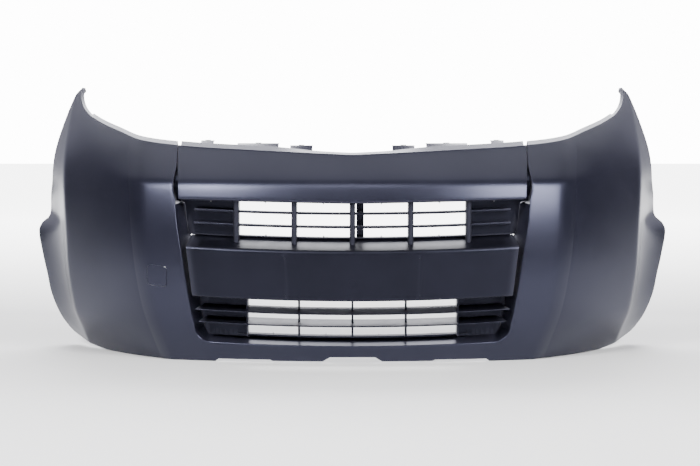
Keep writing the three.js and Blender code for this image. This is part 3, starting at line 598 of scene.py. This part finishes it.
def outer_half():
    """The right half of the cover's outer edge, from the seam's top to the middle of the lower lip."""
    seam_top = float(mouth_edge(top_edge(444)))
    xs = np.linspace(seam_top, HORN_ROOT[0], 44)
    top = np.stack([xs, top_edge(xs)], -1)
    horn = curve(HORN_ROOT, HORN_LEAD, HORN_TIP, 18)
    rear = rear_edge(np.linspace(HEIGHT - 6, FOOT_CORNER_Z, 108))
    tip = np.array([HORN_TIP, rear[0]])
    corner = curve(rear[-1], FOOT_CORNER_LEAD, (FOOT_CORNER_X, 0), 22)
    foot = spaced([(FOOT_CORNER_X, 0), (FOOT_FROM, 0)], 6)
    lobes = spaced([(FOOT_FROM, 0), (339, 0), (331, 6), (204, 6), (196, 3), (73, 3), (55, 14)], 5)
    middle = spaced([(55, 14), (50, 14), (3, 14)], 6)
    return edge_path(
        (top, 1.8, 26, LAMP_LEDGE),
        (horn, 1.5, 8, (-0.9, 0.4, 0.1)),
        (tip, 1.5, 8, (-0.8, 0.4, -0.4)),
        (rear, 2.2, 20, (-1, 0, 0)),
        (corner, 2.2, 10, (-0.4, 0.8, 0.4)),
        (foot, 2.2, FOOT_DEPTH, (0, 1, 0)),
        (lobes, 2.0, 6, (0, 1, 0)),
        (middle, 2.0, 30, (0, 1, 0)),
    )


CORNER_START = 0.12
UPRIGHT_GAIN, UPRIGHT_FROM = 1.6, 0.3


def mouth_rim():
    """The mouth's rim, from just under the top of the right-hand seam to the middle of the lip.

    Rows of [x, z], the direction away from the opening, and the run of the wall behind the rim."""
    z = np.concatenate([np.arange(528, 404, -5.0), np.arange(402, 384, -2.5), np.arange(380, 90, -5.0)])
    sides = np.stack([mouth_edge(z), z], -1)
    x = float(mouth_edge(92)) - MOUTH_CORNER
    t = np.linspace(CORNER_START, math.pi / 2, 12)
    corner_z = LIP_Z + lift(x) + MOUTH_CORNER * (1 - np.sin(t))
    corner = np.stack([x + MOUTH_CORNER * np.cos(t), corner_z], -1)
    lip = spaced([(x - 6, LIP_Z), (3, LIP_Z)], 7)
    lip[:, 1] += lift(lip[:, 0])
    rim = np.vstack([sides, corner, lip])
    x, z = rim.T
    ahead = unit(np.gradient(rim, axis=0))
    out = np.stack([-ahead[:, 1], ahead[:, 0]], -1)
    upright = ease(np.abs(out[:, 0]) * UPRIGHT_GAIN - UPRIGHT_FROM)
    draft = DRAFT_SIDE * upright + DRAFT_LOWER * (1 - upright)
    draft = draft * (1 - ease((z - DRAFT_TOP) / DRAFT_FADE))
    depth = np.maximum(bow(x) + GRILLE_Y, skin_y(x, z) + SEAM_DEPTH) - skin_y(x, z)
    return rim, out, draft, depth


def mouth_half():
    """The mouth's rim as outline rows."""
    rim, out, draft, depth = mouth_rim()
    direction = np.stack([-out[:, 0] * draft, depth, -out[:, 1] * draft], -1)
    radius = RIM_ROUNDING - SEAM_ROUNDING * ease((rim[:, 1] - SEAM_FROM) / SEAM_FADE)
    length = np.linalg.norm(direction, axis=1) - radius
    return np.column_stack([rim, radius, length, direction])


def mouth_space(depth, clearance):
    """A prism of the space inside the mouth's wall at a depth behind the front's curve."""
    rim, out, draft, run = mouth_rim()
    x, z = rim.T
    behind = (bow(x) + depth - skin_y(x, z)) / run
    right = rim - out * (draft * behind + clearance)[:, None]
    left = right[::-1] * (-1, 1)
    plan = np.vstack([right, left])
    return loft([[(px, y, pz) for px, pz in plan] for y in (-60, 400)])


def rounded_square(half, radius, steps=6):
    turns = np.linspace(0, math.pi / 2, steps)
    points = []
    for quarter, (sx, sz) in enumerate([(1, 1), (-1, 1), (-1, -1), (1, -1)]):
        a = turns + quarter * math.pi / 2
        x, z = sx * (half - radius) + radius * np.cos(a), sz * (half - radius) + radius * np.sin(a)
        points += list(zip(x, z))
    return spaced(points, 4, closed=True)


CORNER_STRIP = [
    (399.5, 9), (404, 9), (412, 18), (422, 18), (433, 18), (446, 18), (460, 18), (474, 16), (488, 14),
]


def corner_strip(side):
    """The strip behind the seam that the nose panel's end is screwed to."""
    rings = []
    for z, width in CORNER_STRIP:
        x = float(mouth_edge(z))
        y = max(bow(x) + GRILLE_Y, float(skin_y(x, z)) + SEAM_DEPTH)
        corners = [(-width, -0.3), (1.5, -0.3), (1.5, RIB), (-width, RIB)]
        rings.append([(side * (x + dx), y + dy, z) for dx, dy in corners])
    return loft(rings)


def tow_eye_outline(margin):
    shape = rounded_square(TOW_EYE_HALF + margin, TOW_EYE_RADIUS + margin)
    shape[:, 1] += TOW_EYE_SLANT * shape[:, 0]
    return shape + (TOW_EYE_X, TOW_EYE_Z)


def sleeve_stop():
    """Four strips at the back of the towing eye's sleeve, which close the view past the cap."""
    y = float(skin_y(TOW_EYE_X, TOW_EYE_Z)) + CAP_SLEEVE - SLEEVE_STOP
    back = y + STOP_WALL
    far, near = TOW_EYE_HALF + 1, TOW_EYE_HALF - SLEEVE_STOP
    strips = []
    for side in (1, -1):
        across_x = sorted((TOW_EYE_X + side * near, TOW_EYE_X + side * far))
        across_z = sorted((TOW_EYE_Z + side * near, TOW_EYE_Z + side * far))
        strips.append(block(*across_x, y, back, TOW_EYE_Z - far - 1, TOW_EYE_Z + far + 1))
        strips.append(block(TOW_EYE_X - far, TOW_EYE_X + far, y, back, *across_z))
    return strips


def outer_cover():
    half = outer_half()
    rim = mouth_half()
    outline = np.vstack([half, mirrored(half), mirrored(rim)[::-1], rim[::-1]])
    eye = edge_path((tow_eye_outline(0), 0.6, CAP_SLEEVE, (0, 1, 0)))
    obj = skin_piece("outer_cover_skin", [outline, eye])
    lip_back = LIP_Z + DRAFT_LOWER
    flange = rectangle(GRILLE_Y - 4, GRILLE_Y + 20, lip_back - RIB, lip_back)
    lip_flange = full_width(flange, constant(LIP_FLANGE_HALF))
    return combine(obj, [*both(corner_strip), lip_flange, *sleeve_stop()])


def tow_eye_cap():
    size = TOW_EYE_HALF - CAP_CLEARANCE
    outline = edge_path((tow_eye_outline(-CAP_CLEARANCE), 0.6, 2.2, (0, 1, 0)))
    obj = skin_piece("tow_eye_cap_skin", [outline])

    def leg(side):
        z = TOW_EYE_Z + side * (size - 3)
        y = float(skin_y(TOW_EYE_X, z)) + WALL / 2
        return block(TOW_EYE_X - 8, TOW_EYE_X + 8, y, y + CAP_LEG, z - 1, z + 1, 1.5)

    return combine(obj, both(leg))


# ---------------------------------------------------------------- nose panel

BONNET_TABS = [(100, 156), (185, 290), (351, 384)]
TAB_RISE, TAB_FRONT, TAB_LEAN, TAB_DEPTH = 16.0, 20.0, 20.0, 58.0
LEDGE_DEPTH, LEDGE_RISE, LEDGE_DIP = 24.0, 10.0, 6
DIP_FROM, DIP_FADE = 60, 150
NOSE_ROUNDING = 4.5


def tab_y(x):
    return float(skin_y(x, top_edge(abs(x)) - 4)) + WALL / 2


def ledge_z(x):
    dip = LEDGE_DIP * (1 - float(ease((abs(x) - DIP_FROM) / DIP_FADE)))
    return float(top_edge(abs(x))) + LEDGE_RISE - dip


def nose_ledge():
    """The strip that stands up behind the nose panel's top edge."""
    def section(x):
        y, root, top = tab_y(x), float(top_edge(abs(x))) - 4, ledge_z(x)
        back = y + LEDGE_DEPTH
        return rounded([(y, root), (back, top - RIB), (back, top), (y, root + RIB)], [0, 0.6, 0.8, 0])

    return sweep_x(np.linspace(-434, 434, 60), section)


def bonnet_tab(tab, side):
    z = float(top_edge(sum(tab) / 2)) + TAB_RISE

    def section(x):
        front, back, foot = tab_y(x) + TAB_FRONT, tab_y(x) + TAB_DEPTH, ledge_z(x) - 3
        top = front + TAB_LEAN
        under = z - RIB
        shape = [(front, foot), (front + 4, foot), (top + 1, under), (back, under), (back, z), (top, z)]
        return rounded(shape, [0, 0, 1, 0.6, 0.6, 1.8])

    return sweep_x(side * np.linspace(tab[0], tab[1], 9), section)


def nose_panel():
    corner_x = float(nose_half(NOSE_BOTTOM))
    xs = np.linspace(2.5, corner_x, 70)
    lower = np.stack([xs, nose_edge(xs)], -1)
    top_z = float(top_edge(442))
    z = np.linspace(NOSE_BOTTOM, top_z, 27)
    side = np.stack([nose_half(z), z], -1)
    side[0] = lower[-1]
    xs = np.linspace(side[-1, 0], 2.5, 74)
    top = np.stack([xs, top_edge(xs)], -1)
    half = edge_path(
        (lower, NOSE_ROUNDING, 1, (0, 1, 0)),
        (side, 2.0, SEAM_DEPTH - 4, (0, 1, 0)),
        (top, 2.0, 3, (0, 1, 0.1)),
    )
    x, z = half[:, 0], half[:, 1]
    low = np.arange(len(half)) < len(lower) - 1
    half[low, 3] = (bow(x) + GRILLE_Y - 1 - skin_y(x, z) - NOSE_ROUNDING)[low]
    obj = skin_piece("nose_panel_skin", [np.vstack([half, mirrored(half)])])
    tabs = [bonnet_tab(tab, side) for tab in BONNET_TABS for side in (1, -1)]
    return combine(obj, [nose_ledge(), *tabs])


# ---------------------------------------------------------------- grilles and number-plate panel

SHELF_FRONT, SHELF_BACK, SHELF_DEPTH = 279.5, 304.5, 92.0
SHELF_START, SHELF_END = 6, 72
PLATE_BOTTOM, PLATE_TOP = 156.0, 275.0
PLATE_HALF, PLATE_FLARE = 393, 15
DIMPLE_X, DIMPLE_Z, DIMPLE = (-165, 165), (168, 259), (1.8, 1.2)
ROUND_MARK = (0, 200, 10, 0.5)
UPPER_FLOOR = 305.0
LOWER_FLOOR = 62.0
LOWER_TOP = 155.5
MOUTH_HALF, MOUTH_PLAY = 400, 2.2
POSTS = [-285, -142.5, 0, 142.5, 285]
POST_HALF, POST_FRONT, POST_BACK = 7.0, 34.0, 70.0
UPPER_BARS = [334, 367]
BAR_FRONT, BAR_BACK, BAR_HALF_HEIGHT = 42, 67, 3
UPPER_BLANK, LOWER_BLANK = 290.0, 258.0
BLANK_Y, BLANK_X = 66.0, 450.0
BLANK_REACH = 2.0  # how far the walls reach into the mouth's wall
SLATS = [92, 122]
SLAT_FRONT, SLAT_BACK, SLAT_RISE, SLAT_WALL = 8, 72, 10, 3
LOWER_RIBS = [-131, 0, 131]
RIB_BACK = 70

lower_corner = through([(62, 296), (67, 341), (75, 353), (87, 359), (110, 450)])


def mouth_width(y, z):
    height = z + lift(MOUTH_HALF)
    draft = DRAFT_SIDE * (1 - ease((height - DRAFT_TOP) / DRAFT_FADE))
    return mouth_edge(height) - MOUTH_PLAY - draft * np.clip(y / GRILLE_Y, 0, 1)


def plate_width(y, z):
    flare = PLATE_FLARE * np.clip((z - PLATE_BOTTOM) / (PLATE_TOP - PLATE_BOTTOM), 0, 1)
    return np.minimum(PLATE_HALF + flare, mouth_width(y, z) - 3)


def lower_width(y, z):
    return np.minimum(mouth_width(y, z), lower_corner(z))


def constant(width):
    return lambda y, z: width + 0 * y


def shelf_z(y):
    """Height of the shelf's upper face at a depth behind the front's curve."""
    return SHELF_FRONT + (y - SHELF_START) * (SHELF_BACK - SHELF_FRONT) / (SHELF_END - SHELF_START)


def number_plate_panel():
    b, t = PLATE_BOTTOM, PLATE_TOP
    back, under = SHELF_DEPTH, SHELF_BACK - RIB
    outer = [(0, b), (0, shelf_z(0)), (SHELF_END, SHELF_BACK), (back, SHELF_BACK), (back, under)]
    inner = [(SHELF_END + 0.5, under), (RIB, t), (RIB, b + RIB), (back, b + RIB), (back, b)]
    section = rounded(outer + inner, [5, 8, 8, 0.6, 0.6, 6, 5, 3, 0.6, 0.6], 4)
    end = [
        (1, b + 5), (1, t - 5), (8, SHELF_FRONT - 0.5),
        (SHELF_END, SHELF_BACK - 1), (SHELF_END, b + 1), (5, b + 1),
    ]
    solids = [full_width(section, plate_width, 64)]
    for side in (1, -1):
        solids.append(across(
            end, lambda y, z: side * (plate_width(y, z) - RIB), lambda y, z: side * plate_width(y, z), 1
        ))
    obj = from_solids("number_plate_panel_skin", solids)
    dimples = [drill(x, z, *DIMPLE) for x in DIMPLE_X for z in DIMPLE_Z]
    return combine(obj, [*dimples, drill(*ROUND_MARK)], "DIFFERENCE")


def drill(x, z, radius, depth, sides=24):
    """A tapering bore into the front face of the number-plate panel."""
    turn = np.linspace(0, 2 * math.pi, sides, endpoint=False)
    rings = []
    for y, r in ((-1, radius + 0.6), (0.0, radius + 0.3), (depth, radius - 0.3)):
        ring = [x + r * np.cos(turn), 0 * turn + bow(x) + y, z + lift(x) + r * np.sin(turn)]
        rings.append(np.stack(ring, -1))
    return loft(rings)


def post(x):
    turn = np.linspace(math.pi, 2 * math.pi, 17)
    plan = [(POST_HALF * math.cos(a), POST_FRONT + POST_HALF + POST_HALF * math.sin(a)) for a in turn]
    plan += [(POST_HALF, POST_BACK), (-POST_HALF, POST_BACK)]
    foot = [(x + px, bow(x) + py, shelf_z(py) + lift(x + px) + 0.5) for px, py in plan]
    head = [(x + px, bow(x) + py, float(nose_edge(abs(x))) - 2) for px, py in plan]
    return loft([foot, head])


def bar(z):
    shape = rectangle(BAR_FRONT, BAR_BACK, z - BAR_HALF_HEIGHT, z + BAR_HALF_HEIGHT)
    section = rounded(shape, [2.6, 0.4, 0.4, 2.6], 5)
    return full_width(section, lambda y, z_: 394 - 6 * np.clip(y / GRILLE_Y, 0, 1))


def blanks(start, floor_z, ceiling_z, above=None):
    """The two walls that close a grille's outer ends, up to the mouth's wall."""
    section = rectangle(BLANK_Y, BLANK_Y + RIB, floor_z, ceiling_z)
    made = []
    for side in (1, -1):
        slab = across(section, constant(side * start), constant(side * BLANK_X), 16)
        obj = outward(make_object("blank", *slab))
        combine(obj, [mouth_space(BLANK_Y + RIB, -BLANK_REACH)], "INTERSECT")
        if above:
            combine(obj, [above], "DIFFERENCE")
        made.append(taken(obj))
    return made


def taken(obj):
    """A temporary object's points, in design millimetres, and faces; the object goes."""
    points = np.array([v.co for v in obj.data.vertices]) / MM + (0, LENGTH / 2, 0)
    faces = [list(p.vertices) for p in obj.data.polygons]
    bpy.data.objects.remove(obj)
    return points, faces


def upper_grille():
    def section(x):
        z = float(nose_edge(abs(x))) - 0.5
        return rectangle(bow(x) + 44, bow(x) + GRILLE_Y, z - RIB, z)

    top = sweep_x(np.linspace(-424, 424, 40), section)
    bottom = full_width(rectangle(62, SHELF_DEPTH, UPPER_FLOOR, UPPER_FLOOR + RIB), constant(392))

    def over(x):
        z = float(nose_edge(abs(x))) - 1.8
        return rectangle(-60, 400, z, z + 60)

    walls = blanks(UPPER_BLANK, UPPER_FLOOR - 1.2, 396, sweep_x(np.linspace(-460, 460, 40), over))
    bars, posts = map(bar, UPPER_BARS), map(post, POSTS)
    return from_solids("upper_grille_skin", [top, bottom, *walls, *bars, *posts])


def slat(z):
    front, back, rise, wall = SLAT_FRONT, SLAT_BACK, SLAT_RISE, SLAT_WALL
    shape = [(front, z), (back, z + rise), (back, z + rise + wall), (front, z + wall)]
    section = rounded(shape, [1.3, 0.4, 0.4, 1.3], 4)
    return full_width(section, lambda y, z_: lower_width(y, z_) - 8)


def rib(x, front, width):
    y, z = float(bow(x)), float(lift(x))
    bottom, top = LOWER_FLOOR + 1 + z, LOWER_TOP - 1 + z
    return block(x - width / 2, x + width / 2, y + front, y + RIB_BACK, bottom, top, width * 0.45)


def lower_grille():
    top = full_width(rectangle(60, SHELF_DEPTH, LOWER_TOP - RIB, LOWER_TOP), constant(374))
    bottom = full_width(rectangle(60, SHELF_DEPTH, LOWER_FLOOR, LOWER_FLOOR + RIB), constant(285))
    walls = blanks(LOWER_BLANK, LIP_Z, LOWER_TOP - 1)
    ribs = [rib(x, 40, 5) for x in LOWER_RIBS] + both(lambda side: rib(side * LOWER_BLANK, 22, 4))
    return from_solids("lower_grille_skin", [top, bottom, *walls, *map(slat, SLATS), *ribs])


# ---------------------------------------------------------------- materials

COLOUR_INPUTS, COLOUR_OUTPUT = slice(6, 8), 2  # the Mix node's sockets for colours
SHEEN_TINT = (0.66, 0.69, 1.0, 1)


class Finish:
    """A procedural material: colour, roughness and bump from noise, and lighter worn edges."""

    def __init__(self, name, metallic=0.0):
        self.material = bpy.data.materials.new(name)
        self.material.use_nodes = True
        self.tree = self.material.node_tree
        self.shader = self.tree.nodes["Principled BSDF"]
        self.shader.inputs["Metallic"].default_value = metallic
        self.place = self.node("ShaderNodeTexCoord").outputs["Object"]

    def node(self, kind, **settings):
        made = self.tree.nodes.new(kind)
        for key, value in settings.items():
            setattr(made, key, value)
        return made

    def link(self, source, target):
        self.tree.links.new(source, target)

    def noise(self, scale, detail=3.0):
        made = self.node("ShaderNodeTexNoise")
        made.inputs["Scale"].default_value = scale
        made.inputs["Detail"].default_value = detail
        self.link(self.place, made.inputs["Vector"])
        return made.outputs["Fac"]

    def cells(self, scale):
        made = self.node("ShaderNodeTexVoronoi", feature="SMOOTH_F1")
        made.inputs["Scale"].default_value = scale
        made.inputs["Smoothness"].default_value = 0.6
        self.link(self.place, made.inputs["Vector"])
        return made.outputs["Distance"]

    def spread(self, source, low, high, source_low=0.35, source_high=0.65):
        made = self.node("ShaderNodeMapRange")
        self.link(source, made.inputs["Value"])
        limits = {"From Min": source_low, "From Max": source_high, "To Min": low, "To Max": high}
        for key, value in limits.items():
            made.inputs[key].default_value = value
        return made.outputs["Result"]

    def mix(self, factor, first, second):
        made = self.node("ShaderNodeMix", data_type="RGBA")
        self.link(factor, made.inputs["Factor"])
        for value, socket in zip((first, second), made.inputs[COLOUR_INPUTS]):
            if isinstance(value, tuple):
                socket.default_value = (*value, 1)
            else:
                self.link(value, socket)
        return made.outputs[COLOUR_OUTPUT]

    def edges(self, width, amount):
        """0 on open faces, up to amount on sharp outer edges."""
        corner = self.node("ShaderNodeNewGeometry").outputs["Pointiness"]
        return self.spread(corner, 0.0, amount, 0.5 + width, 0.5 + 2.5 * width)

    def bump(self, *layers):
        normal = None
        for height, distance, strength in layers:
            made = self.node("ShaderNodeBump")
            made.inputs["Distance"].default_value = distance
            made.inputs["Strength"].default_value = strength
            self.link(height, made.inputs["Height"])
            if normal:
                self.link(normal, made.inputs["Normal"])
            normal = made.outputs["Normal"]
        self.link(normal, self.shader.inputs["Normal"])

    def finish(self, colour, roughness):
        self.link(colour, self.shader.inputs["Base Color"])
        self.link(roughness, self.shader.inputs["Roughness"])
        return self.material


def satin_cover():
    f = Finish("satin_cover")
    body = f.mix(f.spread(f.noise(5), 0, 1), (0.007, 0.007, 0.0125), (0.01, 0.01, 0.0165))
    worn = f.mix(f.edges(0.02, 0.5), body, (0.03, 0.03, 0.045))
    f.bump((f.noise(1400, 2), 0.00003, 0.2), (f.noise(60, 2), 0.0002, 0.03))
    f.shader.inputs["IOR"].default_value = 1.5
    f.shader.inputs["Specular Tint"].default_value = SHEEN_TINT
    return f.finish(worn, f.spread(f.noise(14, 4), 0.3, 0.33))


def grained_black():
    f = Finish("grained_black")
    body = f.mix(f.spread(f.noise(7), 0, 1), (0.003, 0.003, 0.005), (0.0045, 0.0045, 0.0075))
    worn = f.mix(f.edges(0.02, 0.5), body, (0.03, 0.03, 0.04))
    f.shader.inputs["IOR"].default_value = 1.35
    f.bump((f.cells(900), 0.0001, 0.3), (f.noise(500, 3), 0.0001, 0.25))
    f.shader.inputs["Specular Tint"].default_value = SHEEN_TINT
    return f.finish(worn, f.spread(f.noise(20, 4), 0.31, 0.39))


def zinc_steel():
    f = Finish("zinc_steel", metallic=1.0)
    body = f.mix(f.spread(f.noise(120), 0, 1), (0.42, 0.42, 0.43), (0.6, 0.6, 0.6))
    worn = f.mix(f.edges(0.03, 0.7), body, (0.75, 0.75, 0.76))
    f.bump((f.noise(900, 3), 0.00008, 0.3))
    return f.finish(worn, f.spread(f.noise(300, 3), 0.28, 0.46))


FINISHES = {"satin_cover": satin_cover(), "grained_black": grained_black(), "zinc_steel": zinc_steel()}


def finished(obj, slot):
    obj.data.materials.clear()
    obj.data.materials.append(FINISHES[slot])


# ---------------------------------------------------------------- the pieces

PIECES = [
    (outer_cover, "outer_cover", "cover", "satin_cover"),
    (nose_panel, "nose_panel", "cover", "satin_cover"),
    (tow_eye_cap, "tow_eye_cap", "towing_eye_cover", "satin_cover"),
    (upper_grille, "upper_grille", "cover", "grained_black"),
    (number_plate_panel, "number_plate_panel", "cover", "grained_black"),
    (lower_grille, "lower_grille", "cover", "grained_black"),
]

for make, node, body, slot in PIECES:
    piece = shade(make())
    finished(piece, slot)
    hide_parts(node)
    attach(piece, body)

STEEL_EDGE, PLASTIC_EDGE = 0.25 * MM, 0.6 * MM
made_here = {node for _, node, _, _ in PIECES}
for name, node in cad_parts.items():
    if name in made_here:
        continue
    steel = "screw" in name or "nut" in name
    finished(node, "zinc_steel" if steel else "grained_black")
    edge = node.modifiers.new("edges", "BEVEL")
    edge.width = STEEL_EDGE if steel else PLASTIC_EDGE
    edge.segments = 3
    edge.limit_method = "ANGLE"
    edge.angle_limit = math.radians(25)
    node.data.polygons.foreach_set("use_smooth", [True] * len(node.data.polygons))
    node.modifiers.new("shading", "WEIGHTED_NORMAL")


# ---------------------------------------------------------------- floor, light and camera

FLOOR_SIZE, FLOOR_FRONT = 36.0, -12.0
GLOW_START, GLOW_END = -5.15, 0.05  # the floor brightens between these distances from its middle
GLOW_STRENGTH = 6.0


def floor():
    bpy.ops.mesh.primitive_plane_add(size=FLOOR_SIZE, location=(0, FLOOR_SIZE / 2 + FLOOR_FRONT, 0))
    obj = bpy.context.object
    obj.name = "floor"
    f = Finish("studio_floor")
    pale = f.mix(f.spread(f.noise(0.8), 0, 1), (0.86, 0.86, 0.86), (0.9, 0.9, 0.9))
    f.bump((f.noise(80, 2), 0.0002, 0.05))
    apart = f.node("ShaderNodeSeparateXYZ")
    f.link(f.place, apart.inputs[0])
    glow = f.spread(apart.outputs["Y"], 0, GLOW_STRENGTH, GLOW_START, GLOW_END)
    f.link(glow, f.shader.inputs["Emission Strength"])
    f.shader.inputs["Emission Color"].default_value = (1, 1, 1, 1)
    obj.data.materials.append(f.finish(pale, f.spread(f.noise(3), 0.55, 0.65)))


def softbox(name, at, towards, width, height, power):
    light = bpy.data.lights.new(name, "AREA")
    light.shape = "RECTANGLE"
    light.size, light.size_y, light.energy = width, height, power
    obj = bpy.data.objects.new(name, light)
    bpy.context.scene.collection.objects.link(obj)
    obj.location = at
    obj.rotation_euler = (Vector(towards) - Vector(at)).to_track_quat("-Z", "Y").to_euler()


SKY_FRONT, SKY_BACK = (0.03, 0.032, 0.045, 1), (0.6, 0.6, 0.7, 1)
SKY_LEVELS = [(0.5, 0.04), (0.64, 0.08), (0.71, 0.35), (0.78, 1.3), (0.87, 0.7)]
SKY_BLUE, SKY_STRENGTH, SEEN_STRENGTH = 1.15, 1.1, 14.0


def studio_world():
    """Bright behind the object, dark on the camera's side, and plain white where the camera sees it."""
    world = bpy.data.worlds.new("studio")
    bpy.context.scene.world = world
    world.use_nodes = True
    tree = world.node_tree
    tree.nodes.clear()
    node, link = tree.nodes.new, tree.links.new
    apart = node("ShaderNodeSeparateXYZ")
    link(node("ShaderNodeTexCoord").outputs["Generated"], apart.inputs[0])
    ramp = node("ShaderNodeValToRGB")
    elements = ramp.color_ramp.elements
    elements[0].position, elements[0].color = 0.0, SKY_FRONT
    elements[1].position, elements[1].color = 1.0, SKY_BACK
    for position, level in SKY_LEVELS:
        elements.new(position).color = (level, level, level * SKY_BLUE, 1)
    spread = node("ShaderNodeMapRange")
    spread.inputs["From Min"].default_value = -1
    link(apart.outputs["Y"], spread.inputs["Value"])
    link(spread.outputs["Result"], ramp.inputs[0])
    lit = node("ShaderNodeBackground")
    lit.inputs["Strength"].default_value = SKY_STRENGTH
    link(ramp.outputs["Color"], lit.inputs["Color"])
    seen = node("ShaderNodeBackground")
    seen.inputs["Color"].default_value = (1, 1, 1, 1)
    seen.inputs["Strength"].default_value = SEEN_STRENGTH
    mix = node("ShaderNodeMixShader")
    link(node("ShaderNodeLightPath").outputs["Is Camera Ray"], mix.inputs[0])
    link(lit.outputs[0], mix.inputs[1])
    link(seen.outputs[0], mix.inputs[2])
    link(mix.outputs[0], node("ShaderNodeOutputWorld").inputs["Surface"])


floor()
softbox("front_left_softbox", (-2.05, -2.75, 2.75), (-0.42, -0.2, 0.43), 0.9, 0.9, 210)
softbox("front_right_softbox", (2.42, -2.72, 2.3), (0.45, -0.2, 0.4), 1.1, 1.5, 220)
softbox("front_top_softbox", (0, -3.0, 3.3), (0, -0.2, 0.43), 1.8, 0.8, 40)
softbox("top_softbox", (0, 0.2, 3.0), (0, 0.0, 0.3), 3.0, 1.4, 16)
softbox("back_softbox", (0, 4.2, 3.6), (0, 2.2, 0), 6.0, 2.4, 520)
studio_world()

LENS, CAMERA_AT, CAMERA_DOWN = 85.3, (-0.006, -4.3, 0.571), 3.55
camera_data = bpy.data.cameras.new("camera")
camera_data.lens = LENS
camera_data.sensor_width = 36
camera = bpy.data.objects.new("camera", camera_data)
bpy.context.scene.collection.objects.link(camera)
camera.location = CAMERA_AT
camera.rotation_euler = (math.radians(90 - CAMERA_DOWN), 0, 0)
bpy.context.scene.camera = camera
